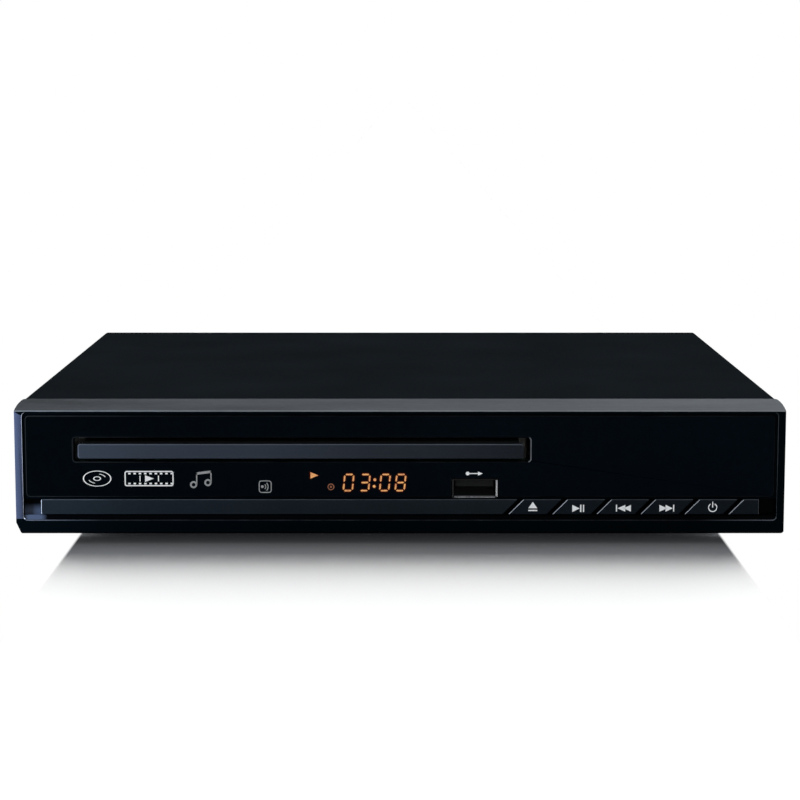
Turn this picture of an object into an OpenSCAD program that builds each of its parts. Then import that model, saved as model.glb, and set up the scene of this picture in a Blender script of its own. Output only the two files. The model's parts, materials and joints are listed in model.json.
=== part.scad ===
// Compact disc player with a motorised tray.
// Millimetres, +Z up, -Y is the front. The origin is at the middle of the footprint, on the ground.

/* [Casing] */
// Width across the front bezel
body_w = 225; // [222:1:240]
// Depth from the bezel front to the rear edge of the cover
body_d = 200; // [198:1:220]
// Height of the casing above its feet
body_h = 38.4; // [38:0.2:46]
// Thickness of the sheet steel
sheet_t = 0.8; // [0.6:0.1:1]
// How far the bezel stands out past the cover on each side
cover_inset = 0.7; // [0.4:0.1:1.2]
// Corner radius where the cover folds down
fold_r = 1.6; // [1.2:0.1:2]
// Drop of the cover's rear flange
rear_flange = 6; // [5:0.5:7]
// Height of the rubber feet
foot_h = 3; // [2:0.5:5]
// Radius of a rubber foot
foot_r = 8; // [6:0.5:9]
// Height of the upturned sides of the base pan
pan_side_h = 12; // [10:1:16]
// Length of a vent slot
vent_l = 10; // [7:0.5:12]
// Width of a vent slot
vent_w = 2.2; // [1.5:0.1:2.6]
// Spacing of the vent slots
vent_pitch = 5; // [4.2:0.2:6]

/* [Bezel] */
// Depth of the sloped band along the top of the bezel
band_d = 11; // [10.6:0.2:13]
// Drop of the sloped band from back to front
band_drop = 2; // [1:0.2:2.4]
// Wall of the bezel's sides, top and bottom
bezel_wall = 2.4; // [2.2:0.1:3]
// Width of the raised cheek at each end
cheek_w = 2.2; // [1.8:0.1:2.6]
// Height of the raised lip under the buttons
lip_h = 4.1; // [3.4:0.1:4.6]
// Depth of the recessed face between the cheeks
face_recess = 0.6; // [0.4:0.1:0.8]
// Length of the tongue that slips inside the cover
tongue_d = 4; // [3:0.5:6]

/* [Fascia] */
// Thickness of the glossy fascia window
fascia_t = 2; // [1.6:0.1:2.2]
// Distance from the bezel's side to the fascia window
fascia_side = 3; // [2.8:0.1:4]
// Height of the fascia's lower edge above the bezel's bottom
fascia_low = 10.8; // [10.6:0.1:11.2]
// Distance from the fascia's upper edge to the top of the casing
fascia_top_gap = 3.5; // [3.4:0.1:4]
// Corner radius of the fascia window
fascia_r = 1.3; // [0.8:0.1:2]
// Wall of the bezel behind the fascia
back_wall = 1.8; // [1.5:0.1:2.2]

/* [Buttons] */
// Spacing of the buttons
button_pitch = 12.9; // [12:0.1:13.4]
// Gap between two buttons
button_gap = 1.8; // [1.2:0.1:2.4]
// Height of a button
button_h = 4.4; // [4:0.1:4.6]
// Height of the button row above the bezel's bottom
button_low = 5.7; // [5.2:0.1:5.8]
// Distance from the bezel's side to the end of the row
row_end = 7.4; // [6:0.2:9]
// Width of the blank end piece of the row
end_piece_w = 4.4; // [3.6:0.2:6]
// How far a button travels
button_travel = 0.5; // [0.3:0.05:0.5]

/* [Tray] */
// Sideways place of the tray's centre line
tray_x = -29; // [-31:0.5:-28]
// Height of the tray door's lower edge above the bezel's bottom
door_low = 22.1; // [22.1:0.1:22.4]
// Width of the tray door
door_w = 130.4; // [129:0.2:131]
// Height of the tray door
door_h = 4.4; // [4.2:0.1:4.6]
// Thickness of the tray door
door_t = 2.6; // [2:0.1:2.8]
// Height of the slot for the tray
slot_h = 7.05; // [6.9:0.05:7.4]
// Width of the slot for the tray
slot_w = 133.6; // [133:0.2:135]
// Width of the disc tray
tray_w = 128; // [127:0.2:128.4]
// Thickness of the disc tray
tray_t = 3.6; // [3.4:0.1:3.8]
// How far the tray slides out
tray_travel = 130; // [110:1:132]
// Distance from the bezel front to the centre of the disc
disc_back = 74.5; // [74:0.1:76]
// Distance from the centre of the disc to the tray's rear edge
tray_tail = 102; // [100:0.5:104]
// Radius of the well for a large disc
well_r = 60.6; // [60.3:0.1:61]
// Depth of the well for a large disc
well_depth = 2; // [1.6:0.1:2.1]
// Radius of the well for a small disc
small_well_r = 40.8; // [40.3:0.1:42]
// Thickness of a disc
disc_t = 1.2; // [1.2:0.05:1.3]
// Width of the opening for the turntable and the pickup
window_w = 40; // [36:0.5:42]

/* [Loader] */
// Wall of the loader frame
loader_wall = 2.4; // [2:0.1:2.8]
// Sideways play of the tray in the loader frame, each side
tray_play = 0.4; // [0.3:0.05:0.5]
// Height of the standoffs under the loader
loader_standoff = 3; // [2.6:0.1:3.4]
// Thickness of the steel clamp bridge
bridge_t = 1; // [0.8:0.1:1.2]
// Radius of the clamp puck's flange
puck_flange_r = 17; // [15:0.5:19]
// Radius of the clamp puck's hub
puck_hub_r = 12.3; // [11:0.1:13]
// Distance from the disc's centre back to the hinge of the lift frame
hinge_back = 92; // [90:0.5:94]
// How far the turntable rises to take the disc
turntable_rise = 6.6; // [6.5:0.05:6.9]
// Half width of the lift frame
lift_half_w = 44; // [43:0.5:46]
// Sideways travel of the cam slider
cam_travel = 20; // [18:0.5:20]
// Diameter of the hinge pins
hinge_pin_d = 4; // [3.4:0.1:4.4]
// Diameter of the cam pins
cam_pin_d = 3; // [2.6:0.1:3.2]

/* [Disc drive] */
// Radius of the turntable
turntable_r = 14.5; // [13.5:0.1:15]
// Radius of the spindle motor
spindle_r = 11; // [9:0.2:12]
// Height of the spindle motor
spindle_h = 10; // [8:0.2:10.4]
// Diameter of the guide rods
rod_d = 3; // [2.5:0.1:3.2]
// Distance from the centre line to a guide rod
rod_x = 24; // [23.5:0.1:24.5]
// Distance from the centre line to the lead screw
screw_x = 31; // [30.6:0.1:31.6]
// Diameter of the lead screw
screw_d = 2.6; // [2:0.1:3]
// Radius on the disc where the pickup rests
pickup_inner = 24; // [24:0.1:25]
// How far the pickup sled travels
sled_travel = 34; // [30:0.5:34.5]

/* [Gear train] */
// Module of the rack and the pinion that drives it
rack_mod = 1; // [1:0.05:1.05]
// Teeth of the pinion that drives the rack
rack_pinion_n = 20; // [18:2:20]
// Module of the wheel and the pulley's pinion
wheel_mod = 0.75; // [0.7:0.05:0.75]
// Teeth of the wheel
wheel_n = 28; // [26:2:28]
// Teeth of the pulley's pinion, an even number
pulley_pinion_n = 14; // [14:2:16]
// Radius of the large belt pulley's groove
pulley_r = 8.2; // [7.6:0.1:8.4]
// Radius of the motor pulley's groove
motor_pulley_r = 2.6; // [2.2:0.1:3]
// Distance between the motor and the large pulley
belt_span = 48; // [40:0.5:50]
// Thickness of the square belt
belt_t = 1.2; // [1:0.1:1.4]
// Diameter of the gear posts
post_d = 3; // [2.6:0.1:3.2]

/* [Boards] */
// Thickness of a circuit board
board_t = 1.6; // [1.2:0.1:1.8]
// Height of the standoffs under the boards
board_standoff = 6; // [5:0.5:7]
// Width of the boards beside the loader
board_w = 58; // [54:0.5:59]
// Depth of the power board
power_d = 84; // [80:1:88]
// Depth of the main board
main_d = 82; // [78:1:84]
// Width of the USB socket
usb_w = 13.2; // [13:0.1:13.4]
// Height of the USB socket
usb_h = 5.8; // [5.6:0.1:6]

/* [Rear sockets] */
// How far the audio and video barrels stand out
jack_out = 9; // [8:0.2:10]
// Outer diameter of a barrel
barrel_d = 8.3; // [8.2:0.05:8.5]
// Spacing of the barrels
jack_pitch = 13; // [12.5:0.1:14]
// Height of the barrels' axes above the board
jack_axis_h = 8; // [7.5:0.1:9]
// Width of the mains inlet's flange
inlet_w = 33; // [32:0.5:36]
// Height of the mains inlet's flange
inlet_h = 15; // [14:0.5:17]

/* [Hidden] */
$fn = 64;
e = 0.01;                       // overshoot of cuts
fit = 0.2;                      // gap between parts that are pushed together
slide_gap = 0.2;                // gap under and over a part that slides
bore_gap = 0.08;                // radial gap of a shaft or pin in its bore
screw_r = 1.4;                  // shank radius of the screws
hole_r = 1.6;                   // clearance hole for a screw
head_r = 2.7;                   // radius of a screw head
head_h = 1.7;                   // height of a screw head

// Casing
front_y = -(body_d + jack_out) / 2;
back_y = front_y + body_d;
top_z = foot_h + body_h;
floor_z = foot_h + sheet_t;
cover_w = body_w - 2 * cover_inset;
cover_in = cover_w / 2 - sheet_t;
cover_y = front_y + band_d;
panel_y = back_y - 2 * sheet_t - fit / 2;   // outer face of the rear panel is one sheet behind this
pan_side_y = cover_y + tongue_d + 1;
foot_x = body_w / 2 - 25;
foot_y = [front_y + 38, back_y - 22];
side_screw_y = [pan_side_y + 12, back_y - 14];

// Front
fascia_front = 0.3;
pocket_d = fascia_front + fascia_t;
wall_back = pocket_d + back_wall;
fascia_w = body_w - 2 * fascia_side;
fascia_z0 = foot_h + fascia_low;
fascia_z1 = top_z - fascia_top_gap;
face_z1 = top_z - band_drop - 0.5;
row_x1 = body_w / 2 - row_end;
row_z = foot_h + button_low;
button_w = button_pitch - button_gap;
slant = button_h;                            // the buttons lean at 45 degrees
end_x0 = row_x1 - end_piece_w - slant;
button_x0 = end_x0 - 5 * button_pitch;
channel_d = wall_back - 1.5;
cap_front = 0.2;
cap_back = channel_d - button_travel - fit;
stem_r = 1.2;

// Front board and what stands on it
front_board_d = 8;
front_board_y = front_y + front_board_d;
front_board_z0 = foot_h + bezel_wall + fit;
switch_front = front_board_d - 2.8;
post_z = front_board_z0 + 13.5;
display_x = [button_x0 - 50.8, button_x0 - 27.8];
display_z = [foot_h + 11.6, foot_h + 18.4];
ir_x = button_x0 - 71.3;
ir_z = foot_h + 13.9;
usb_x = button_x0 - 9.9;
usb_z = foot_h + 10.3 + usb_h / 2;
usb_d = 14;
post_hole_r = 1.1;
post_xs = [-body_w / 2 + 14, ir_x - 8.5, usb_x - 11.9, body_w / 2 - 14];

// Tray
door_z = foot_h + door_low;
slot_z = door_z - 0.8;
slot_x = tray_x + 0.3;
disc_y = front_y + disc_back;
door_front = 0.5;
tray_front_y = front_y + door_front + door_t;
tray_rear_y = disc_y + tray_tail;
hinge_y = disc_y + hinge_back;
tray_z = door_z + 1.2;
tray_top = tray_z + tray_t;
well_z = tray_top - well_depth;
small_well_z = well_z - 0.7;

// Loader
loader_z = floor_z + loader_standoff;
loader_half = tray_w / 2 + tray_play;
loader_y0 = front_y + 13.5;
loader_y1 = max(tray_rear_y + 4, hinge_y + 14);
bridge_z = tray_top + 3.4;
deck_z = tray_z - 8.3;
deck_t = 1.5;
strip_t = 2;
ledge_w = 3;
lug_x = loader_half - 6.5;
lug_y = [loader_y0 + 40, loader_y1 - 8];

// Disc seat, clamp and lift, given with the lift frame raised and level
seat_z = well_z + 2;
puck_z = seat_z + disc_t;
plate_t = 1.2;
plate_top = tray_z - 1.3;
plate_z = plate_top - plate_t;
cone_r = 7.3;
magnet_r = 8;
magnet_z = bridge_z + bridge_t + 0.4;
pivot_z = tray_z - 5.3;
ring_z = pivot_z - 4.5;
ring_h = 4;
lift_angle = asin(turntable_rise / hinge_back);
cam_y = loader_y0 + 25.6;
cam_t = 2.4;
cam_top = pivot_z + cam_pin_d / 2 + 2.1;
cam_x0 = -53;
cam_x1 = 43;
cam_pin_back = hinge_y - cam_y;
pin_rise = cam_pin_back * sin(lift_angle);
cam_pin_x = [-20, 20];
ring_front_y = cam_y + cam_t / 2 + 2.2;
ring_bar = 6.5;
rod_z = plate_z - 4.7;
sled_front = 7;
sled_l = 30;
sled_y = disc_y + pickup_inner;
rod_y0 = sled_y - sled_front - 3.6;
rod_y1 = sled_y - sled_front + sled_l + sled_travel + 1.6;

// Gear train
pressure = 20;
backlash = 0.12;
rack_r = rack_mod * rack_pinion_n / 2;
wheel_r = wheel_mod * wheel_n / 2;
pulley_pinion_r = wheel_mod * pulley_pinion_n / 2;
rack_x = -tray_w / 2 + 8;                    // pitch line of the rack, from the tray's centre line
gear_x = rack_x + rack_r;
gear_y = loader_y0 + 12;
pulley_x = gear_x + wheel_r + pulley_pinion_r;
motor_x = pulley_x + belt_span;
pulley_h = 3.1;
wheel_z = deck_z + 3.8;
wheel_face = 2;
motor_body_r = 9.2;
motor_body_h = 10;

// Boards
board_z = floor_z + board_standoff;
board_top = board_z + board_t;
board_x0 = cover_in - board_w - 5.7;
power_y0 = front_y + 16;
main_y1 = panel_y - fit;
main_y0 = main_y1 - main_d;
strip_x0 = -16;                              // left end of the main board's strip behind the loader
strip_y0 = loader_y1 + 2.6;
jack_z = board_top + jack_axis_h;
jack_x0 = strip_x0 + 16;
jack_screw_z = jack_z + 3.6;
jack_block_d = 12;
coax_x = jack_x0 + 3 * jack_pitch + 4;
hdmi_x = coax_x + 17;
inlet_x = -body_w / 2 + 30;
inlet_z = foot_h + body_h / 2;
inlet_flange_t = 1.6;
inlet_d = 12;
contact_pitch = 8.6;
wire_r = 1.1;
wire_bend = 2.4;

// Shared shapes

// A box given by its two corners
module span(x, y, z)
    translate([x[0], y[0], z[0]]) cube([x[1] - x[0], y[1] - y[0], z[1] - z[0]]);

// A centred rectangle with round corners
module round_rect(w, d, r) {
    square([w - 2 * r, d], center = true);
    square([w, d - 2 * r], center = true);
    for (sx = [-1, 1], sy = [-1, 1])
        translate([sx * (w / 2 - r), sy * (d / 2 - r)]) circle(r);
}

// A slot with round ends, along X
module slot2d(l, w) {
    square([l - w, w], center = true);
    for (s = [-1, 1]) translate([s * (l - w) / 2, 0]) circle(d = w);
}

// Extrudes a (depth, height) outline across the width w, centred on X
module along_x(w)
    translate([-w / 2, 0, 0]) rotate([90, 0, 90]) linear_extrude(w) children();

// Extrudes an (x, height) outline backwards from y over the depth d
module along_y(y, d)
    translate([0, y + d, 0]) rotate([90, 0, 0]) linear_extrude(d) children();

// A row of vent slots cut through whatever they are drawn in, centred, along X
module vent_row(count, deep)
    for (i = [0:count - 1])
        translate([(i - (count - 1) / 2) * vent_pitch, 0, 0])
            linear_extrude(deep, center = true) rotate(90) slot2d(vent_l, vent_w);

// A pan-head screw with a cross recess, head up, seated at the origin
module screw(length, head = head_h)
    difference() {
        union() {
            rotate_extrude() polygon([[0, 0], [head_r, 0], [head_r, head * 0.45],
                [head_r * 0.8, head * 0.85], [head_r * 0.4, head], [0, head]]);
            translate([0, 0, -length]) cylinder(r = screw_r, h = length + e);
        }
        for (a = [0, 90]) rotate(a) translate([-1.3, -0.25, head * 0.5]) cube([2.6, 0.5, head]);
    }

// A round bar or bore from p backwards, along +Y
module rod(p, r, d, h)
    translate(p) rotate([-90, 0, 0]) cylinder(r = r, d = d, h = h);

// A washer-shaped ring
module ring(outer, inner, h)
    difference() {
        cylinder(r = outer, h = h);
        translate([0, 0, -e]) cylinder(r = inner, h = h + 2 * e);
    }

// Everything on the lift frame is drawn level and raised, then let down onto its stop
module lowered()
    translate([tray_x, hinge_y, pivot_z]) rotate([lift_angle, 0, 0])
        translate([0, -hinge_y, -pivot_z]) children();

// Points of one involute flank from the base circle to the tip, as [radius, polar angle]
function roll_at(r, rb) = r > rb ? sqrt(pow(r / rb, 2) - 1) * 180 / PI : 0;
function involute_angle(roll) = roll - atan(roll * PI / 180);
function polar(r, a) = [r * cos(a), r * sin(a)];
function tooth_points(n, mod, at, steps = 4) =
    let (rp = n * mod / 2, rb = rp * cos(pressure), ro = rp + mod, rr = rp - 1.25 * mod,
        half = 90 / n - backlash * 90 / (PI * rp) + involute_angle(roll_at(rp, rb)),
        r0 = max(rr, rb), roll0 = roll_at(r0, rb), roll1 = roll_at(ro, rb),
        flank = [for (i = [0:steps]) let (t = roll0 + (roll1 - roll0) * i / steps)
            [rb * sqrt(1 + pow(t * PI / 180, 2)), half - involute_angle(t)]])
    concat([polar(rr, at - half)],
        [for (p = flank) polar(p[0], at - p[1])],
        [for (i = [steps:-1:0]) polar(flank[i][0], at + flank[i][1])],
        [polar(rr, at + half)]);

// Outline of a spur gear with its first tooth on the X axis
module gear2d(n, mod)
    polygon([for (k = [0:n - 1]) each tooth_points(n, mod, k * 360 / n)]);

// Outline of a centreline bent at right angles, t thick
function side_of(path, i, t) =
    let (n = len(path), a = path[max(i - 1, 0)], b = path[i], c = path[min(i + 1, n - 1)],
        u = i == 0 ? c - b : b - a, v = i == n - 1 ? b - a : c - b,
        un = u / norm(u), vn = v / norm(v), m = [-un[1] - vn[1], un[0] + vn[0]])
    b + m * t / (1 + un * vn) / 2;
function strip_outline(path, t) =
    let (n = len(path))
    concat([for (i = [0:n - 1]) side_of(path, i, t)],
        [for (i = [n - 1:-1:0]) side_of(path, i, -t)]);

// Folded steel cover: top, two sides with vents, and a flange over the rear panel
module top_cover() {
    side_mid = (cover_y + back_y) / 2;
    vent_z = foot_h + pan_side_h + (body_h - pan_side_h) / 2;
    color("#1a1e20") difference() {
        union() {
            along_y(cover_y, back_y - cover_y) difference() {
                cover_section(cover_w, top_z, fold_r);
                cover_section(cover_w - 2 * sheet_t, top_z - sheet_t, fold_r - sheet_t);
            }
            span([-cover_in - e, cover_in + e], [back_y - sheet_t, back_y],
                [top_z - rear_flange, top_z - sheet_t / 2]);
        }
        for (s = [-1, 1]) {
            for (row = [0, 1])
                translate([s * cover_w / 2, side_mid + 8, vent_z + (row - 0.5) * (vent_l + 1.5) * 0.8])
                    rotate([0, 90, 0]) rotate(90) side_vents();
            for (y = side_screw_y)
                translate([s * cover_w / 2, y, foot_h + pan_side_h / 2])
                    rotate([0, 90, 0]) cylinder(r = hole_r, h = 4, center = true);
        }
        for (x = [-1, 0, 1])
            translate([x * (cover_w / 2 - 20), back_y, top_z - rear_flange / 2 - 0.2])
                rotate([90, 0, 0]) cylinder(r = hole_r, h = 4, center = true);
    }
}

// The vents in a side wall are shorter than the others so that two rows fit
module side_vents()
    for (i = [0:13])
        translate([(i - 6.5) * vent_pitch, 0, 0])
            linear_extrude(4, center = true) rotate(90) slot2d(vent_l * 0.75, vent_w);

// Section of the folded cover: round upper corners, open at the bottom
module cover_section(w, z1, r) {
    z0 = foot_h + 0.1;
    translate([-w / 2, z0 - e]) square([w, z1 - r - z0 + e]);
    translate([-w / 2 + r, z0]) square([w - 2 * r, z1 - z0]);
    for (s = [-1, 1]) translate([s * (w / 2 - r), z1 - r]) circle(r);
}

// Steel base with upturned sides, vents, standoffs for the loader and the boards
module base_pan() {
    pan_x = cover_in - fit;
    color("#9aa0a4") difference() {
        union() {
            span([-pan_x, pan_x], [cover_y, panel_y - fit], [foot_h, floor_z]);
            for (s = [-1, 1])
                span([min(s * pan_x, s * (pan_x - sheet_t)), max(s * pan_x, s * (pan_x - sheet_t))],
                    [pan_side_y, panel_y - fit], [foot_h, foot_h + pan_side_h]);
            for (s = [-1, 1], y = lug_y)
                translate([tray_x + s * lug_x, y, floor_z - e])
                    cylinder(r1 = 4.4, r2 = 3.2, h = loader_standoff + e);
            for (p = board_holes())
                translate([p[0], p[1], floor_z - e]) cylinder(r1 = 4, r2 = 2.8, h = board_standoff + e);
        }
        for (s = [-1, 1], y = lug_y)
            translate([tray_x + s * lug_x, y, foot_h - e]) cylinder(r = screw_r + 0.1, h = 9);
        for (p = board_holes())
            translate([p[0], p[1], foot_h - e]) cylinder(r = screw_r + 0.1, h = 12);
        for (row = [0:2])
            translate([tray_x, disc_y - 14 + row * (vent_l + 3), floor_z]) vent_row(10, 4);
        for (row = [0:1])
            translate([board_x0 + board_w / 2, power_y0 + power_d / 2 + row * (vent_l + 3), floor_z])
                vent_row(7, 4);
        for (s = [-1, 1], y = side_screw_y)
            translate([s * pan_x, y, foot_h + pan_side_h / 2])
                rotate([0, 90, 0]) cylinder(r = screw_r + 0.1, h = 4, center = true);
        for (x = [-1, 1])
            translate([x * (pan_x - 12), panel_y - 6, foot_h - e]) cylinder(r = hole_r, h = 4);
    }
}

// Screw places of the power board, then of the main board
function board_holes() = concat(
    [for (x = [4, board_w - 4], y = [power_y0 + 4, power_y0 + power_d - 4]) [board_x0 + x, y]],
    [for (x = [4, board_w - 4]) [board_x0 + x, main_y0 + 4]],
    [[strip_x0 + 4, strip_y0 + 4.4], [board_x0 + board_w - 4, main_y1 - 18]]);

// Steel rear panel with its sockets' holes, vents, and a foot that lies on the pan
module rear_panel() {
    half = cover_in - fit;
    z1 = top_z - sheet_t - fit;
    color("#24282b") difference() {
        union() {
            span([-half, half], [panel_y, panel_y + sheet_t], [floor_z, z1]);
            for (s = [-1, 1])
                span([min(s * (half - 1.2), s * (half - 26)), max(s * (half - 1.2), s * (half - 26))],
                    [panel_y - 11, panel_y + e], [floor_z, floor_z + sheet_t]);
        }
        for (x = barrel_xs()) translate([x, panel_y, jack_z]) rotate([90, 0, 0])
            cylinder(d = barrel_d + 2 * fit, h = 6, center = true);
        for (x = jack_screw_xs()) translate([x, panel_y, jack_screw_z]) rotate([90, 0, 0])
            cylinder(r = hole_r, h = 6, center = true);
        along_y(panel_y - 3, 6) translate([hdmi_x, board_top + 3.1]) round_rect(15.6, 6.4, 0.6);
        along_y(panel_y - 3, 6) translate([inlet_x, inlet_z]) round_rect(inlet_w - 14, inlet_h - 3.4, 1.5);
        for (s = [-1, 1]) translate([inlet_x + s * (inlet_w / 2 - 3.4), panel_y, inlet_z])
            rotate([90, 0, 0]) cylinder(r = hole_r, h = 6, center = true);
        for (row = [0, 1])
            translate([(inlet_x + jack_x0) / 2 - 1, panel_y, inlet_z + (row - 0.5) * (vent_l + 2)])
                rotate([90, 0, 0]) vent_row(7, 6);
        for (x = [-1, 0, 1])
            translate([x * (cover_w / 2 - 20), panel_y, top_z - rear_flange / 2 - 0.2])
                rotate([90, 0, 0]) cylinder(r = screw_r + 0.1, h = 6, center = true);
        for (x = [-1, 1])
            translate([x * (half - 12), panel_y - 6, floor_z - e]) cylinder(r = screw_r + 0.1, h = 4);
    }
}

// The two screws that hold the jack block, between the three barrels
function jack_screw_xs() = [jack_x0 + 0.5 * jack_pitch, jack_x0 + 1.5 * jack_pitch];

// Four rubber feet with a turned rim and a hollow underneath
module feet()
    for (x = [-foot_x, foot_x], y = foot_y)
        color("#101112") translate([x, y, 0]) rotate_extrude()
            polygon([[foot_r * 0.45, 0.5], [foot_r * 0.62, 0], [foot_r - 1, 0], [foot_r - 0.4, 0.4],
                [foot_r, foot_h * 0.75], [foot_r - 0.2, foot_h], [0, foot_h], [0, 0.5]]);

// Screws of the cover: two on each side and three along the rear flange
module cover_screws() {
    color("#2a2d30") for (s = [-1, 1], y = side_screw_y)
        translate([s * cover_w / 2, y, foot_h + pan_side_h / 2]) rotate([0, s * 90, 0])
            screw(3.2, cover_inset);
    color("#2a2d30") for (x = [-1, 0, 1])
        translate([x * (cover_w / 2 - 20), back_y, top_z - rear_flange / 2 - 0.2])
            rotate([-90, 0, 0]) screw(4);
}

// Screws of the rear panel: jack block, mains inlet, and the feet of the panel from below
module panel_screws() {
    color("#8c9196") for (x = jack_screw_xs())
        translate([x, panel_y + sheet_t, jack_screw_z]) rotate([-90, 0, 0]) screw(6);
    color("#8c9196") for (s = [-1, 1])
        translate([inlet_x + s * (inlet_w / 2 - 3.4), panel_y + sheet_t + inlet_flange_t, inlet_z])
            rotate([-90, 0, 0]) screw(5);
    color("#8c9196") for (x = [-1, 1])
        translate([x * (cover_in - fit - 12), panel_y - 6, foot_h]) rotate([180, 0, 0]) screw(3);
}

// Moulded front: cheeks, sloped band, lip, and pockets for the fascia and the button row
module front_bezel() {
    half = body_w / 2;
    face_half = half - cheek_w;
    color("#15181b") difference() {
        union() {
            difference() {
                intersection() {
                    along_x(body_w) bezel_profile();
                    along_y(front_y - 1, band_d + 2) bezel_outline();
                }
                span([-half + bezel_wall, half - bezel_wall], [front_y + wall_back, cover_y + e],
                    [foot_h + bezel_wall, top_z - band_drop - bezel_wall]);
            }
            bezel_tongue();
            for (x = post_xs)
                rod([x, front_y + wall_back - e, post_z], r = 2.6, h = front_board_d - wall_back + e);
            for (s = [-1, 1])
                span([usb_x + s * (usb_w / 2 + 2) - 1, usb_x + s * (usb_w / 2 + 2) + 1],
                    [front_y + wall_back - e, front_board_y - 0.4],
                    [usb_z - usb_h / 2 - board_t - 2.2, usb_z - usb_h / 2 - board_t]);
        }
        // recessed face between the cheeks, above the lip, with round corners
        along_y(front_y - 1, face_recess + 1) translate([0, (foot_h + lip_h + face_z1) / 2])
            round_rect(2 * face_half, face_z1 - foot_h - lip_h, fascia_r);
        // pocket for the fascia window
        along_y(front_y - 1, pocket_d + 1) translate([0, (fascia_z0 + fascia_z1) / 2])
            round_rect(fascia_w + fit, fascia_z1 - fascia_z0 + fit, fascia_r + fit / 2);
        // channel for the button row, open past both ends of the row
        span([-face_half, face_half], [front_y - 1, front_y + channel_d],
            [row_z - 0.3, row_z + button_h + 0.2]);
        for (i = [0:4]) button_hole(i);
        along_y(front_y - 1, wall_back + 3) translate([slot_x, slot_z + slot_h / 2])
            round_rect(slot_w, slot_h, 0.8);
        span([display_x[0] - 6, display_x[1] + 0.5], [front_y, front_y + wall_back + 1],
            [display_z[0] - fit, display_z[1] + fit]);
        translate([ir_x, front_y + wall_back / 2, ir_z]) rotate([90, 0, 0])
            cylinder(r = 2.9, h = wall_back + 2, center = true);
        span([usb_x - usb_w / 2 - fit, usb_x + usb_w / 2 + fit], [front_y - 1, front_y + wall_back + 1],
            [usb_z - usb_h / 2 - fit / 2, usb_z + usb_h / 2 + fit]);
        for (x = post_xs)
            rod([x, front_y + wall_back, post_z], r = post_hole_r, h = 6);
    }
}

// Side view of the bezel, as (depth, height)
module bezel_profile()
    polygon([[front_y + 0.5, foot_h], [cover_y, foot_h], [cover_y, top_z], [cover_y - 0.6, top_z],
        [front_y + 0.4, top_z - band_drop], [front_y, top_z - band_drop - 0.3], [front_y, foot_h + 0.5]]);

// Front view of the bezel: round corners, and a slanted one at the lower left
module bezel_outline()
    translate([0, foot_h + body_h / 2]) difference() {
        union() {
            square([body_w, body_h / 2], center = true);
            translate([0, body_h / 4]) round_rect(body_w, body_h / 2, 1.6);
            translate([0, -body_h / 4]) round_rect(body_w, body_h / 2, 0.9);
        }
        translate([-body_w / 2, -body_h / 2]) polygon([[-1, -1], [1.5, -1], [1.5, 0], [0, 3.3], [-1, 3.3]]);
    }

// Rim that slips inside the cover and over the pan
module bezel_tongue() {
    out_x = cover_in - fit;
    z0 = floor_z + fit;
    z1 = top_z - sheet_t - fit;
    difference() {
        span([-out_x, out_x], [cover_y - 3, cover_y + tongue_d], [z0, z1]);
        span([-out_x + 1.4, out_x - 1.4], [cover_y - 4, cover_y + tongue_d + 1], [z0 + 1.4, z1 - 1.4]);
    }
}

// Glossy window over the whole face, cut out for the tray and the USB socket
module fascia_window()
    color("#08090b") difference() {
        along_y(front_y + fascia_front, fascia_t) translate([0, (fascia_z0 + fascia_z1) / 2])
            round_rect(fascia_w, fascia_z1 - fascia_z0, fascia_r);
        along_y(front_y - 1, fascia_t + 3) translate([slot_x, slot_z + slot_h / 2])
            round_rect(slot_w, slot_h, 0.8);
        span([usb_x - usb_w / 2 - fit, usb_x + usb_w / 2 + fit], [front_y - 1, front_y + fascia_t + 2],
            [fascia_z0 - 1, usb_z + usb_h / 2 + fit]);
    }

// Slanted outline of a piece of the button row, from x0 to x1 at its lower edge
module row_piece(x0, x1, lean0, lean1)
    along_y(front_y + cap_front, cap_back - cap_front)
        polygon([[x0, row_z], [x1, row_z], [x1 + lean1, row_z + button_h], [x0 + lean0, row_z + button_h]]);

// Long blank bar to the left of the buttons and the blank piece at the right end
module button_trim() {
    bar_x0 = -row_x1;
    bar_x1 = button_x0 - button_gap;
    color("#191d21") {
        row_piece(bar_x0, bar_x1, 0, slant);
        row_piece(end_x0, row_x1, slant, 0);
        // pegs that hold the pieces against the bottom of the channel
        for (x = [bar_x0 + 6, (bar_x0 + bar_x1) / 2, bar_x1 - 6, row_x1 - 3.2])
            span([x - 1.5, x + 1.5], [front_y + cap_back - e, front_y + channel_d],
                [row_z + 1, row_z + button_h - 1]);
    }
}

function button_mid(i) = button_x0 + i * button_pitch + button_w / 2 + slant / 2;

// One button: slanted cap, stem through the bezel, and the plunger of its switch
module button(i) {
    x = button_mid(i);
    z = row_z + button_h / 2;
    color("#111418") {
        row_piece(button_x0 + i * button_pitch, button_x0 + i * button_pitch + button_w, slant, slant);
        rod([x, front_y + cap_back - e, z], r = stem_r, h = switch_front - 0.6 - cap_back + e);
    }
    color("#d8d8d4") rod([x, front_y + switch_front - 0.55, z], r = 1.5, h = 1.4);
}

module button_hole(i)
    rod([button_mid(i), front_y + channel_d - e, row_z + button_h / 2], r = stem_r + fit, h = 4);

module eject_button() button(0);
module play_pause_button() button(1);
module previous_button() button(2);
module next_button() button(3);
module power_button() button(4);

// Front of the tray with rounded ends and three clips that grip the tray's edge
module tray_door() {
    color("#22252c") along_y(front_y + door_front, door_t) translate([tray_x, door_z + door_h / 2])
        round_rect(door_w, door_h, 0.8);
    color("#22252c") for (x = [-48, 0, 48])
        span([tray_x + x - 4, tray_x + x + 4], [tray_front_y - e, tray_front_y + 3.4],
            [door_z + 0.1, tray_z - 0.05]);
}

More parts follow.
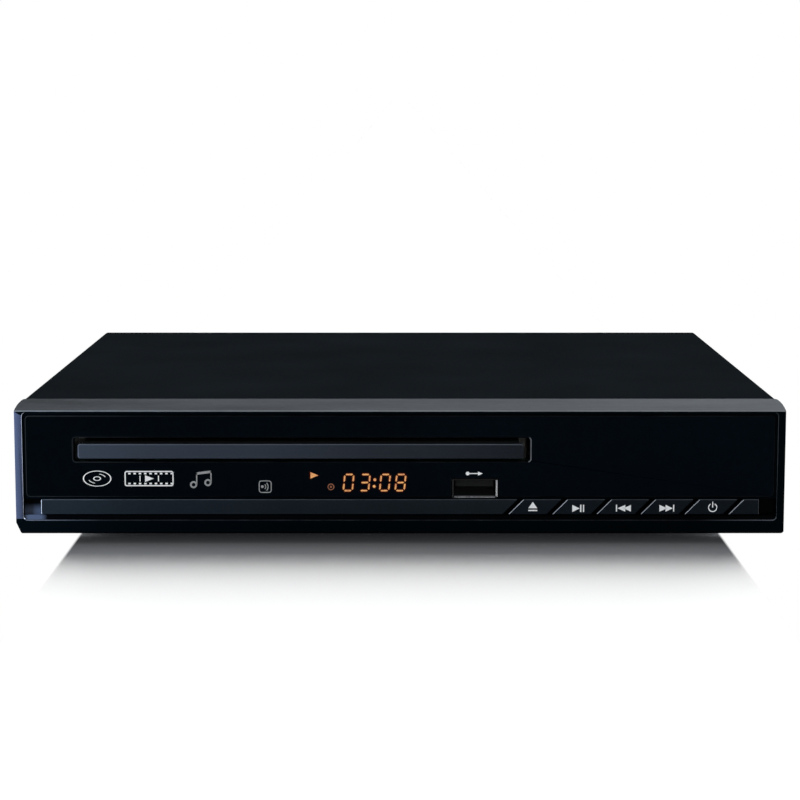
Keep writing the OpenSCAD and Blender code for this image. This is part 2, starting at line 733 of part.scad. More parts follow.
// Moulded tray: two wells, opening for the turntable and the pickup, finger hollows and its rack
module disc_tray()
    color("#1c1f22") translate([tray_x, disc_y, 0]) {
        difference() {
            translate([0, 0, tray_z]) linear_extrude(tray_t) tray_outline();
            translate([0, 0, well_z]) cylinder(r = well_r, h = tray_t);
            translate([0, 0, small_well_z]) cylinder(r = small_well_r, h = tray_t);
            translate([0, 0, tray_z - 1]) linear_extrude(tray_t + 2) tray_window();
            // hollows for the fingers at both sides and at the front of the well
            for (s = [-1, 1]) translate([s * (well_r - 8), 0, well_z - 0.4]) linear_extrude(tray_t)
                round_rect(21, 34, 6);
            translate([0, -well_r + 3, well_z - 0.4]) linear_extrude(tray_t) round_rect(36, 12, 5);
            // groove behind the front edge
            translate([0, tray_front_y - disc_y + 3, tray_top - 0.5]) linear_extrude(1)
                round_rect(tray_w - 16, 1.4, 0.6);
        }
        tray_rack();
        // rib under the right side, running beside the loader's ledge
        span([tray_w / 2 - ledge_w - 2, tray_w / 2 - ledge_w - 0.4],
            [tray_front_y - disc_y + 6, tray_tail - 4], [tray_z - 1.5, tray_z + e]);
    }

module tray_outline() {
    d = tray_rear_y - tray_front_y;
    translate([0, tray_front_y - disc_y + d / 2]) {
        translate([-tray_w / 2, -d / 2]) square([tray_w, d - 10]);
        round_rect(tray_w, d, 5);
    }
}

// Keyhole: round about the turntable, straight behind it for the pickup
module tray_window() {
    circle(d = window_w);
    tail = pickup_inner + sled_travel + 10;
    translate([0, tail / 2]) square([window_w, tail - 8], center = true);
    translate([-window_w / 2 + 4, 0]) square([window_w - 8, tail]);
    for (s = [-1, 1]) translate([s * (window_w / 2 - 4), tail - 4]) circle(4);
}

// Straight-sided rack under the left edge, with a gap between teeth facing the gear at rest
module tray_rack() {
    pitch = PI * rack_mod;
    teeth = ceil(tray_travel / pitch) + 6;
    y0 = gear_y - disc_y - 3 * pitch;
    half_tooth = pitch / 4 - backlash / 2;
    lean = tan(pressure);
    root = rack_x - 1.25 * rack_mod;
    tip = rack_x + rack_mod;
    translate([0, 0, tray_z - 1.7]) linear_extrude(1.7 + e) {
        translate([-tray_w / 2 + ledge_w + 0.4, y0])
            square([root + tray_w / 2 - ledge_w - 0.4 + e, teeth * pitch]);
        for (k = [0:teeth - 1])
            translate([0, y0 + (k + 0.5) * pitch])
                polygon([[root, -half_tooth - 1.25 * rack_mod * lean], [tip, -half_tooth + rack_mod * lean],
                    [tip, half_tooth - rack_mod * lean], [root, half_tooth + 1.25 * rack_mod * lean]]);
    }
}

// Moulded frame: side walls with ledges and hold-down ribs, gear deck, slider channel, hinge bearings
module loader_frame() {
    w_in = loader_half;
    w_out = loader_half + loader_wall;
    color("#c9cac6") translate([tray_x, 0, 0]) difference() {
        union() {
            difference() {
                loader_shell(w_out);
                translate([0, 0, -e]) linear_extrude(80) translate([0, (loader_y0 + loader_y1) / 2])
                    square([2 * w_in, loader_y1 - loader_y0 - 2 * loader_wall], center = true);
            }
            for (s = [-1, 1]) side_details(s);
            front_deck(w_in);
            rear_bearings();
            slider_channel(w_in);
            // gear posts
            translate([gear_x, gear_y, deck_z - e]) cylinder(d = post_d, h = tray_z - 0.2 - deck_z);
            translate([pulley_x, gear_y, deck_z - e])
                cylinder(d = post_d, h = wheel_z + wheel_face + 0.2 - deck_z);
        }
        // way out for the tray at the front
        span([-w_in, w_in], [loader_y0 - 1, loader_y0 + loader_wall + 1], [deck_z, bridge_z + 1]);
        // hinge bores
        translate([0, hinge_y, pivot_z]) rotate([0, 90, 0])
            cylinder(d = hinge_pin_d + 2 * bore_gap, h = 2 * lift_half_w + 11, center = true);
        // openings that lighten the side walls
        for (s = [-1, 1], i = [0:3])
            translate([s * w_out, loader_y0 + 28 + i * 33, (loader_z + tray_z) / 2]) rotate([0, 90, 0])
                linear_extrude(12, center = true) round_rect(tray_z - loader_z - 9, 22, 2);
        // room for the USB socket and its board
        span([usb_x - tray_x - usb_w / 2 - 4, usb_x - tray_x + usb_w / 2 + 4], [loader_y0 - 1, loader_y0 + 6],
            [usb_z - usb_h / 2 - board_t - 1, deck_z + 9]);
        // motor boss and its two screws
        translate([motor_x, gear_y, deck_z - deck_t - 1]) cylinder(r = 3.4, h = deck_t + 2);
        for (s = [-1, 1]) translate([motor_x + s * 6.5, gear_y, deck_z - deck_t - 1])
            cylinder(r = hole_r, h = deck_t + 2);
        // screws into the base and into the bridge
        for (s = [-1, 1]) {
            for (y = lug_y) translate([s * lug_x, y, loader_z - 1]) cylinder(r = hole_r, h = 6);
            for (y = [-11, 11]) translate([s * (w_out + 2.2), disc_y + y, bridge_z - 9])
                cylinder(r = screw_r + 0.1, h = 10);
        }
    }
}

module loader_shell(w_out)
    translate([0, 0, loader_z]) linear_extrude(bridge_z - loader_z)
        translate([0, (loader_y0 + loader_y1) / 2]) round_rect(2 * w_out, loader_y1 - loader_y0, 2);

// Floor strip, ledge under the tray, ribs over its edge and bosses for the bridge, on one side
module side_details(s) {
    w_in = loader_half;
    y0 = loader_y0 + loader_wall - e;
    y1 = loader_y1 - loader_wall + e;
    mirror([s < 0 ? 1 : 0, 0, 0]) {
        span([w_in - 13, w_in + e], [cam_y + 3, y1], [loader_z, loader_z + strip_t]);
        span([w_in - ledge_w, w_in + e], [loader_y0 + e, y1], [tray_z - slide_gap - 1.2, tray_z - slide_gap]);
        for (y = [0, 1, 2, 3])
            span([w_in - 2.2, w_in + e], [loader_y0 + 8 + y * 44, loader_y0 + 20 + y * 44],
                [tray_top + slide_gap, tray_top + slide_gap + 1.4]);
        for (y = [-11, 11])
            translate([w_in + loader_wall + 2.2, disc_y + y, bridge_z - 8]) cylinder(r = 3.2, h = 8);
    }
}

// Deck that carries the gears and the loading motor, and the low wall in front of it
module front_deck(w_in) {
    span([-w_in - e, w_in + e], [loader_y0, cam_y - cam_t / 2 - 0.3], [deck_z - deck_t, deck_z]);
    for (x = [gear_x, pulley_x])
        translate([x, gear_y, deck_z - e]) cylinder(r = 3.4, h = 0.3);
}

// Channel that the cam slider runs in: front flange, bottom bar, rear lip and two hooks above
module slider_channel(w_in) {
    yf = cam_y - cam_t / 2 - 0.3;
    yr = cam_y + cam_t / 2 + 0.3;
    span([-w_in - e, w_in + e], [yf - 0.9, yr + 0.8], [loader_z - 1.6, loader_z]);
    span([-w_in - e, w_in + e], [yf - 0.9, yf], [loader_z - e, deck_z]);
    span([-w_in - e, w_in + e], [yr, yr + 0.8], [loader_z - e, loader_z + 1.6]);
    for (x = [-14, 34]) {
        span([x, x + 5], [yf - 2, yf], [deck_z - e, cam_top + slide_gap + 1.1]);
        span([x, x + 5], [yf - e, cam_y + 0.9], [cam_top + slide_gap, cam_top + slide_gap + 1.1]);
    }
}

// Bearings of the lift frame: two uprights on a cross bar behind the hinge
module rear_bearings() {
    for (s = [-1, 1]) {
        x0 = s * (lift_half_w + 0.5);
        x1 = s * (lift_half_w + 5);
        span([min(x0, x1), max(x0, x1)], [hinge_y - 5, loader_y1 - loader_wall + e],
            [loader_z, pivot_z + 3.6]);
        span([min(x0, s * (loader_half + e)), max(x0, s * (loader_half + e))],
            [hinge_y - 5, loader_y1 - loader_wall + e], [loader_z, loader_z + strip_t]);
    }
}

module loader_screws() {
    color("#8c9196") translate([tray_x, 0, 0]) {
        for (s = [-1, 1]) {
            for (y = lug_y) translate([s * lug_x, y, loader_z + strip_t]) screw(4.4);
            for (y = [-11, 11])
                translate([s * (loader_half + loader_wall + 2.2), disc_y + y, bridge_z + bridge_t])
                screw(7);
            translate([motor_x + s * 6.5, gear_y, deck_z]) screw(3);
        }
    }
}

// Pressed steel bridge over the tray, wide round the puck, with stiffening flanges
module clamp_bridge() {
    half = loader_half + loader_wall + 5;
    color("#b5b9bb") translate([tray_x, disc_y, bridge_z]) difference() {
        union() {
            linear_extrude(bridge_t) {
                square([2 * half - 8, 26], center = true);
                for (s = [-1, 1]) translate([s * (half - 6), 0]) round_rect(12, 32, 2);
                circle(24);
            }
            for (s = [-1, 1], t = [-1, 1])
                translate([s * (half - 30), t * 12.6, bridge_t - e + 0.7])
                    cube([36, 0.8, 1.4 + e], center = true);
        }
        translate([0, 0, -e]) cylinder(r = puck_hub_r + 0.7, h = 4);
        for (a = [45:90:315]) rotate(a) translate([20, 0, -e]) cylinder(r = 1.6, h = 4);
        for (s = [-1, 1], y = [-11, 11]) translate([s * (half - 2.8), y, -e]) cylinder(r = hole_r, h = 4);
    }
}

// Puck that presses the disc on the turntable: hub through the bridge, flange on top, hollow below
module clamp_puck()
    color("#e2e2de") translate([tray_x, disc_y, 0]) difference() {
        rotate_extrude() polygon([[0, puck_z + 1.8], [cone_r + 0.8, puck_z + 1.8], [cone_r + 1.2, puck_z],
            [puck_hub_r - 0.5, puck_z], [puck_hub_r, puck_z + 0.5], [puck_hub_r, bridge_z + bridge_t + 0.2],
            [puck_flange_r, bridge_z + bridge_t + 0.2], [puck_flange_r, bridge_z + bridge_t + 1.6],
            [puck_flange_r - 0.5, bridge_z + bridge_t + 2], [0, bridge_z + bridge_t + 2]]);
        translate([0, 0, magnet_z]) cylinder(r = magnet_r + 0.1, h = 5);
    }

module clamp_magnet()
    color("#55585b") translate([tray_x, disc_y, magnet_z]) ring(magnet_r, 3.2, 1.8);

// Plastic frame that swings on two pins at the rear and carries two cam pins in front
module lift_frame() {
    w = lift_half_w;
    y0 = ring_front_y;
    y1 = hinge_y + 3.4;
    color("#3a3d40") lowered() {
        translate([0, 0, ring_z]) linear_extrude(ring_h) difference() {
            translate([0, (y0 + y1) / 2]) round_rect(2 * w, y1 - y0, 3);
            translate([0, (y0 + 11 + y1 - ring_bar) / 2])
                round_rect(2 * (w - ring_bar), y1 - y0 - 11 - ring_bar, 3);
        }
        // deeper front bar with the cam pins
        span([-w + 3, w - 3], [y0, y0 + 8], [ring_z, pivot_z + cam_pin_d / 2 + 0.4]);
        for (x = cam_pin_x) translate([x, y0 + e, pivot_z]) rotate([90, 0, 0])
            cylinder(d = cam_pin_d, h = y0 - cam_y + cam_t / 2 + 0.1);
        // raised rear corners with the hinge pins
        for (s = [-1, 1]) {
            span([min(s * w, s * (w - ring_bar)), max(s * w, s * (w - ring_bar))],
                [hinge_y - 3.4, y1 - 0.6], [ring_z, pivot_z + hinge_pin_d / 2 + 0.4]);
            translate([s * (w - 1), hinge_y, pivot_z]) rotate([0, s * 90, 0])
                cylinder(d = hinge_pin_d, h = 5);
        }
    }
}

damper_xy = [for (x = [-1, 1], y = [ring_front_y + 14, hinge_y - 7.5]) [x * (lift_half_w - 4), y]];

// Steel plate with the spindle hole, the opening for the sled and lugs for the rods
module traverse_plate() {
    y0 = ring_front_y + 10;
    y1 = hinge_y - 4;
    half = lift_half_w - 0.5;
    color("#aeb3b6") lowered() difference() {
        union() {
            translate([0, 0, plate_z]) linear_extrude(plate_t)
                translate([0, (y0 + y1) / 2]) round_rect(2 * half, y1 - y0, 3);
            for (s = [-1, 1], y = [rod_y0, rod_y1])
                span([s * rod_x - 3.2, s * rod_x + 3.2], [y - 0.8, y + 0.8], [rod_z - 2.6, plate_z + e]);
            span([screw_x - 2.6, screw_x + 2.6], [rod_y1 - 0.8, rod_y1 + 0.8], [rod_z - 2.4, plate_z + e]);
        }
        translate([0, 0, plate_z - 1]) linear_extrude(4)
            translate([0, (rod_y0 + rod_y1) / 2 + 0.3]) round_rect(2 * rod_x + 8, rod_y1 - rod_y0 - 3.4, 2);
        translate([0, disc_y, plate_z - 1]) cylinder(r = 4.6, h = 4);
        for (s = [-1, 1]) rod([s * rod_x, rod_y0 - 4, rod_z], d = rod_d + 0.1, h = rod_y1 - rod_y0 + 8);
        rod([screw_x, rod_y1 - 4, rod_z], d = screw_d + 2 * bore_gap, h = 8);
        for (p = damper_xy) translate([p[0], p[1], plate_z - 1]) cylinder(r = 2.2, h = 4);
    }
}

// Rubber grommets between the frame and the plate
module dampers()
    color("#202224") lowered() for (p = damper_xy) translate([p[0], p[1], ring_z + ring_h])
        rotate_extrude() polygon([[0, 0], [3, 0], [3, 1], [2.4, 1.4], [3, 1.8],
            [3, plate_z - ring_z - ring_h], [2.1, plate_z - ring_z - ring_h],
            [2.1, plate_top - ring_z - ring_h],
            [0, plate_top - ring_z - ring_h]]);

// Flat motor under the plate, with its shaft up through the turntable
module spindle_motor()
    color("#8e9397") lowered() translate([0, disc_y, 0]) {
        translate([0, 0, plate_z - spindle_h]) rotate_extrude() polygon([[0, 0], [spindle_r - 0.8, 0],
            [spindle_r, 0.8], [spindle_r, spindle_h], [4, spindle_h], [4, spindle_h + plate_t - 0.2],
            [1, spindle_h + plate_t - 0.2], [1, seat_z + 1.4 - plate_z + spindle_h],
            [0, seat_z + 1.4 - plate_z + spindle_h]]);
    }

// Turned table: hub, flange, and the cone that centres the disc
module turntable()
    color("#303337") lowered() translate([0, disc_y, 0]) rotate_extrude()
        polygon([[1 + bore_gap, plate_top + 0.5], [4, plate_top + 0.5], [4, seat_z - 3],
            [turntable_r, seat_z - 2.4], [turntable_r, seat_z - 0.8], [cone_r, seat_z - 0.8],
            [cone_r, seat_z + 1], [cone_r - 1.8, seat_z + 2.2], [4, seat_z + 2.2], [3, seat_z + 1.6],
            [1 + bore_gap, seat_z + 1.6]]);

// Rubber ring that grips the disc
module turntable_mat()
    color("#17191b") lowered() translate([0, disc_y, seat_z - 0.8])
        ring(turntable_r - 0.3, cone_r + 1.6, 0.8);

module guide_rods()
    color("#c8ccd0") lowered() for (s = [-1, 1])
        rod([s * rod_x, rod_y0 - 2, rod_z], d = rod_d, h = rod_y1 - rod_y0 + 4);

// Die-cast sled: a long bearing on one rod, a fork on the other and an arm to the lead screw
module pickup_sled() {
    y0 = sled_y - sled_front;
    y1 = y0 + sled_l;
    z0 = plate_z - 7.4;
    z1 = plate_top - 0.6;
    bore = rod_d + 2 * bore_gap;
    color("#6f7478") lowered() difference() {
        union() {
            translate([0, 0, z0]) linear_extrude(z1 - z0) translate([0, (y0 + y1) / 2])
                round_rect(2 * rod_x - 9, sled_l, 3);
            rod([-rod_x, y0, rod_z], d = rod_d + 3, h = sled_l);
            span([-rod_x, -rod_x + 6], [y0, y1], [rod_z - 2.2, rod_z + 2.6]);
            // fork and arm
            span([rod_x - 6, rod_x + 2.8], [y0 + 8, y0 + 18], [rod_z - 2.9, rod_z + 2.9]);
            span([rod_x + 2, screw_x + 2.2], [y0 + 10, y0 + 16], [rod_z - 2.8, rod_z + 2.8]);
        }
        rod([-rod_x, y0 - 1, rod_z], d = bore, h = sled_l + 2);
        rod([rod_x, y0 - 1, rod_z], d = bore, h = sled_l + 2);
        rod([screw_x, y0 - 1, rod_z], d = screw_d + 2 * bore_gap, h = sled_l + 2);
        // room for the lens holder
        translate([0, sled_y, z0 + 2]) linear_extrude(12) round_rect(21, 12, 1);
        // ribs and pockets of the casting
        for (s = [-1, 1]) translate([s * 8.5, y0 + 22, z1 - 1.2]) linear_extrude(3) round_rect(13, 10, 1);
    }
}

// Lens holder on its suspension, just under the disc when raised
module pickup_lens() {
    z0 = plate_z - 4.8;
    z1 = seat_z - 2.4;
    color("#26282b") lowered() translate([0, sled_y, 0]) difference() {
        union() {
            translate([0, 0, z0]) linear_extrude(z1 - z0) round_rect(19.6, 10.6, 1.2);
            translate([0, 0, z1 - e]) ring(3.4, 2.6, 0.5);
            translate([0, 0, z1 - e]) intersection() {
                translate([0, 0, -6.2]) sphere(6.9);
                cylinder(r = 2.5, h = 1);
            }
        }
        for (s = [-1, 1]) translate([s * 7, 0, z1 - 1]) linear_extrude(3) round_rect(3, 7, 0.5);
    }
}

module sled_motor()
    color("#9ba0a4") lowered() translate([screw_x, rod_y0 - 3.5, rod_z]) rotate([90, 0, 0])
        difference() {
            intersection() {
                cylinder(r = 5.6, h = 14);
                translate([-6, -4.6, -1]) cube([12, 9.2, 16]);
            }
            translate([0, 0, -e]) cylinder(d = screw_d + 2 * bore_gap, h = 2);
        }

module lead_screw()
    color("#d0d2d4") lowered() rod([screw_x, rod_y0 - 5, rod_z], d = screw_d, h = rod_y1 - rod_y0 + 6.5);

// Sliding plate with two slanted slots that raise and lower the pins
module cam_slider()
    color("#d9d9d2") translate([tray_x, 0, 0]) difference() {
        along_y(cam_y - cam_t / 2, cam_t) {
            z0 = loader_z + slide_gap;
            polygon([[cam_x0, z0], [cam_x1, z0], [cam_x1, cam_top - 3], [cam_x1 - 3, cam_top],
                [cam_x0 + 3, cam_top], [cam_x0, cam_top - 3]]);
        }
        for (x = cam_pin_x) along_y(cam_y - cam_t, 2 * cam_t) cam_slot(x);
        for (x = [cam_x0 + 6, -10, cam_x1 - 13])
            along_y(cam_y - cam_t, 2 * cam_t) translate([x, loader_z + 3.6]) circle(1.8);
    }

// Slot in the slider that takes a pin from its low to its raised place while the slider moves across
module cam_slot(x) {
    w = cam_pin_d + 0.5;
    run = norm([cam_travel, pin_rise]);
    translate([x, pivot_z - pin_rise]) rotate(180 - atan(pin_rise / cam_travel)) {
        translate([0, -w / 2]) square([run, w]);
        circle(d = w);
        translate([run, 0]) circle(d = w);
    }
}

// Loading motor hung under the deck, its shaft up through the pulley
module loading_motor()
    color("#a8adb0") translate([tray_x + motor_x, gear_y, deck_z - deck_t]) {
        difference() {
            translate([0, 0, -motor_body_h]) cylinder(r = motor_body_r, h = motor_body_h);
            for (s = [-1, 1]) translate([s * 6.5, 0, -1.6]) cylinder(r = screw_r + 0.1, h = 2);
        }
        cylinder(r = 3, h = deck_t);
        cylinder(r = 1, h = deck_t + 5);
    }

// Section of a belt pulley as a turned outline: groove for the belt between two flanges
module pulley_turn(groove_r, bore_r, z0, h) {
    flange = groove_r + 1;
    band = (h - belt_t - 0.4) / 2;
    rotate_extrude() polygon([[bore_r, z0], [flange, z0], [flange, z0 + band * 0.6], [groove_r, z0 + band],
        [groove_r, z0 + h - band], [flange, z0 + h - band * 0.6], [flange, z0 + h], [bore_r, z0 + h]]);
}

module motor_pulley()
    color("#cfd0cc") translate([tray_x + motor_x, gear_y, 0])
        pulley_turn(motor_pulley_r, 1 + bore_gap, deck_z + 0.3, pulley_h);

// Closed rubber belt round the two pulleys
module drive_belt()
    color("#151617") translate([tray_x + pulley_x, gear_y, deck_z + 0.3 + (pulley_h - belt_t) / 2])
        linear_extrude(belt_t) difference() {
            belt_loop(belt_t + 0.1);
            belt_loop(0.1);
        }

module belt_loop(out)
    hull() {
        circle(pulley_r + out, $fn = 96);
        translate([belt_span, 0]) circle(motor_pulley_r + out, $fn = 64);
    }

// Large belt pulley with the pinion that turns the wheel
module pulley_gear()
    color("#e4e2da") translate([tray_x + pulley_x, gear_y, 0]) {
        pulley_turn(pulley_r, post_d / 2 + bore_gap, deck_z + 0.3, pulley_h);
        difference() {
            translate([0, 0, deck_z + 0.3 + pulley_h - e])
                linear_extrude(wheel_z + wheel_face - 0.1 - deck_z - pulley_h - 0.3)
                rotate(180 / pulley_pinion_n + 180) gear2d(pulley_pinion_n, wheel_mod);
            translate([0, 0, deck_z]) cylinder(d = post_d + 2 * bore_gap, h = 12);
        }
    }

// Wheel and rack pinion moulded in one, on a hub
module drive_gear()
    color("#dcdad0") translate([tray_x + gear_x, gear_y, 0]) difference() {
        union() {
            translate([0, 0, deck_z + 0.5]) cylinder(r = post_d / 2 + 1.6, h = wheel_z - deck_z);
            translate([0, 0, wheel_z]) linear_extrude(wheel_face) gear2d(wheel_n, wheel_mod);
            translate([0, 0, wheel_z + wheel_face - e]) linear_extrude(tray_z - 0.25 - wheel_z - wheel_face)
                gear2d(rack_pinion_n, rack_mod);
        }
        translate([0, 0, deck_z]) cylinder(d = post_d + 2 * bore_gap, h = 12);
    }

// Board with an arm behind the loader that carries the rear sockets
module main_board()
    color("#1f5a3a") difference() {
        translate([0, 0, board_z]) linear_extrude(board_t) {
            translate([board_x0, main_y0]) square([board_w, main_d]);
            translate([strip_x0, strip_y0]) square([board_x0 - strip_x0 + e, main_y1 - strip_y0]);
        }
        for (p = board_holes()) translate([p[0], p[1], board_z - 1]) cylinder(r = hole_r, h = 4);
    }

// Packages on the main board as [x, y, width, depth, height] from the board's front left corner
chip_list = [[30, 34, 20, 20, 1.4], [12, 34, 10, 18, 1.2], [44, 58, 11, 8, 1.6], [12, 56, 8, 6, 1.6],
    [14, 14, 15, 7.5, 2], [44, 14, 9, 7, 1.5], [28, 54, 11, 4.6, 3.4]];

module main_board_chips()
    color("#17181a") for (c = chip_list)
        translate([board_x0 + c[0] - c[2] / 2, main_y0 + c[1] - c[3] / 2, board_top])
            cube([c[2], c[3], c[4]]);

// Plug connectors of the two boards as [board's y0, x, y, width]
connector_list = [[0, 4.5, 44, 16], [0, 24, 3.2, 12], [0, 40, 3.2, 10], [1, 14, 79, 12], [1, 30, 79, 14],
    [1, 5.5, 56, 8]];

module board_connectors()
    color("#e9e6dc") for (c = connector_list) {
        along_side = c[1] < 6;
        w = along_side ? 5 : c[3];
        d = along_side ? c[3] : 5;
        translate([board_x0 + c[1], (c[0] == 0 ? main_y0 : power_y0) + c[2], board_top]) difference() {
            translate([-w / 2, -d / 2, 0]) cube([w, d, 5.5]);
            translate([-w / 2 + 0.8, -d / 2 + 0.8, 1.5]) cube([w - 1.6, d - 1.6, 5]);
        }
    }

// Can capacitors as [on the power board, x, y, radius, height]
capacitor_list = [[1, 16, 34, 7, 24], [1, 46, 66, 5, 16], [1, 34, 66, 4, 12], [1, 24, 66, 4, 12],
    [0, 50, 40, 3.1, 7], [0, 50, 30, 3.1, 7], [0, 8, 64, 2.6, 6], [0, 20, 66, 2.6, 6], [0, 32, 16, 2.6, 6]];

module board_capacitors()
    color("#2b3340") for (c = capacitor_list)
        translate([board_x0 + c[1], (c[0] == 1 ? power_y0 : main_y0) + c[2], board_top]) rotate_extrude()
            polygon([[0, 0], [c[3], 0], [c[3], 1.4], [c[3] - 0.3, 1.8], [c[3], 2.2], [c[3], c[4] - 0.5],
                [c[3] - 0.5, c[4]], [0, c[4]]]);

module power_board()
    color("#b08a4e") difference() {
        translate([board_x0, power_y0, board_z]) cube([board_w, power_d, board_t]);
        for (p = board_holes()) translate([p[0], p[1], board_z - 1]) cylinder(r = hole_r, h = 4);
    }

// Switching transformer: ferrite core round a taped winding on a pinned base
module transformer()
    translate([board_x0 + 36, power_y0 + 36, board_top]) {
        color("#2e2a26") difference() {
            translate([-11, -9, 2.5]) cube([22, 18, 16]);
            translate([-7.5, -10, 5]) cube([15, 20, 11]);
        }
        color("#d9b83a") translate([-7.2, -8.4, 5.1]) cube([14.4, 16.8, 10.8]);
        color("#1c1c1c") translate([-11, -10, 0]) cube([22, 20, 2.5]);
    }

// Extruded heat sink with fins, standing beside the transformer
module heat_sink()
    color("#b9bdc0") translate([board_x0 + 10, power_y0 + 12, board_top]) linear_extrude(20) {
        square([30, 2]);
        for (i = [0:5]) translate([i * 5.6, 0]) square([2, 7]);
    }

module board_screws() {
    color("#8c9196") for (p = board_holes()) translate([p[0], p[1], board_top]) screw(5.4);
    color("#8c9196") for (x = post_xs)
        translate([x, front_board_y + board_t, post_z]) rotate([-90, 0, 0])
            scale(0.7) screw(6);
}

// Upright board behind the bezel, cut out for the USB socket
module front_board()
    color("#1f5a3a") difference() {
        along_y(front_board_y, board_t) {
            half = body_w / 2 - 7.5;
            polygon([[-half, front_board_z0], [half, front_board_z0], [half, slot_z - 0.6],
                [-half, slot_z - 0.6]]);
        }
        span([usb_x - usb_w / 2 - 4, usb_x + usb_w / 2 + 4], [front_board_y - 1, front_board_y + 4],
            [front_board_z0 - 1, usb_z + usb_h / 2 + 1]);
        for (x = post_xs)
            rod([x, front_board_y - 1, post_z], r = 1.2, h = 4);
    }

// Four-digit display with its seven-segment windows sunk in the face
module led_display() {
    w = display_x[1] - display_x[0];
    z_mid = (display_z[0] + display_z[1]) / 2;
    color("#2a2422") difference() {
        span(display_x, [front_y + pocket_d + 0.1, front_board_y], [display_z[0], display_z[1]]);
        for (x = digit_xs()) digit_windows(x, z_mid);
    }
}

function digit_xs() = [for (d = [3.95, 8.8, 14.6, 19.5]) display_x[0] + d];

// Seven segments of one digit, 0.3 deep
module digit_windows(x, z) {
    w = 3.2;
    h = 5;
    t = 0.6;
    along_y(front_y + pocket_d, 0.4) translate([x, z]) {
        for (s = [-1, 0, 1]) translate([0, s * (h - t) / 2]) square([w - 2 * t - 0.2, t], center = true);
        for (sx = [-1, 1], sz = [-1, 1]) translate([sx * (w - t) / 2, sz * h / 4])
            square([t, h / 2 - t - 0.1], center = true);
    }
}

// Infrared receiver with its domed lens
module ir_receiver()
    color("#1a1416") {
        span([ir_x - 3.4, ir_x + 3.4], [front_board_y - 3.2, front_board_y], [ir_z - 3.6, ir_z + 3.6]);
        translate([ir_x, front_board_y - 3.2 + e, ir_z]) rotate([90, 0, 0])
            rotate_extrude() intersection() {
                circle(2.4);
                square([3, 3]);
            }
    }

// Push switches behind the buttons
module tact_switches()
    for (i = [0:4]) color("#cfd2d4") difference() {
        translate([button_mid(i) - 3, front_y + switch_front, row_z + button_h / 2 - 3])
            cube([6, front_board_d - switch_front, 6]);
        rod([button_mid(i), front_y + switch_front - 1, row_z + button_h / 2], r = 1.6, h = 2.6);
    }

module usb_board()
    color("#1f5a3a") span([usb_x - usb_w / 2 - 3.2, usb_x + usb_w / 2 + 3.2],
        [front_y + wall_back + 0.1, loader_y0 + 4], [usb_z - usb_h / 2 - board_t, usb_z - usb_h / 2]);

// Folded steel shell of the USB socket with its tongue
module usb_socket()
    translate([usb_x, 0, usb_z]) {
        color("#c4c8cc") difference() {
            along_y(front_y + 0.9, usb_d) round_rect(usb_w, usb_h, 0.5);
            along_y(front_y + 0.8, usb_d - 0.5) round_rect(usb_w - 0.7, usb_h - 0.7, 0.3);
        }
        color("#1b1b1d") translate([-5.6, front_y + 4.4, 0.1]) cube([11.2, 10.1, 1.9]);
    }

// Folded steel shell of the HDMI socket with its tongue
module hdmi_socket()
    translate([hdmi_x, 0, board_top + 2.95]) {
        color("#c4c8cc") difference() {
            along_y(panel_y - 11.2, 13) hdmi_outline(0);
            along_y(panel_y - 10.6, 13.5) hdmi_outline(0.5);
        }
        color("#1b1b1d") translate([-5.2, panel_y - 11, 0]) cube([10.4, 8.2, 1]);
    }

module hdmi_outline(inset)
    polygon([[-7.5 + inset, 2.9 - inset], [7.5 - inset, 2.9 - inset], [7.5 - inset, -1 + inset / 2],
        [5.6 - inset / 2, -2.9 + inset], [-5.6 + inset / 2, -2.9 + inset], [-7.5 + inset, -1 + inset / 2]]);

// Moulded blocks behind the rear panel that carry the barrels
module jack_block()
    color("#1b1c1e") difference() {
        union() {
            span([jack_x0 - 6, jack_x0 + 2 * jack_pitch + 6], [panel_y - jack_block_d, panel_y],
                [board_top, jack_z + 6.2]);
            span([coax_x - 5.8, coax_x + 5.8], [panel_y - jack_block_d, panel_y], [board_top, jack_z + 6.2]);
        }
        for (x = barrel_xs()) rod([x, panel_y - 4, jack_z], d = barrel_d - 0.3, h = 5);
        for (x = jack_screw_xs()) rod([x, panel_y - 7, jack_screw_z], r = screw_r + 0.1, h = 8);
    }

function barrel_xs() = concat([for (i = [0:2]) jack_x0 + i * jack_pitch], [coax_x]);

// Turned metal barrels, a little thinner where they pass through the panel into the block
module jack_barrels()
    color("#c9a54a") for (x = barrel_xs()) translate([x, 0, jack_z]) rotate([-90, 0, 0]) difference() {
        union() {
            translate([0, 0, panel_y - 4]) cylinder(d = barrel_d - 0.4, h = 5 + sheet_t);
            translate([0, 0, panel_y + sheet_t])
                cylinder(d = barrel_d, h = back_y + jack_out - panel_y - sheet_t);
        }
        translate([0, 0, panel_y - 3]) cylinder(d = barrel_d - 1.4, h = 20);
    }

// Insulators inside the barrels, bored for the plug's pin
module jack_inserts()
    for (i = [0:3]) color(["#e0c22a", "#e8e8e4", "#c23327", "#d9772c"][i])
        translate([barrel_xs()[i], panel_y - 3, jack_z]) rotate([-90, 0, 0])
            ring(barrel_d / 2 - 0.75, 1.7, back_y + jack_out - panel_y + 3 - 1);

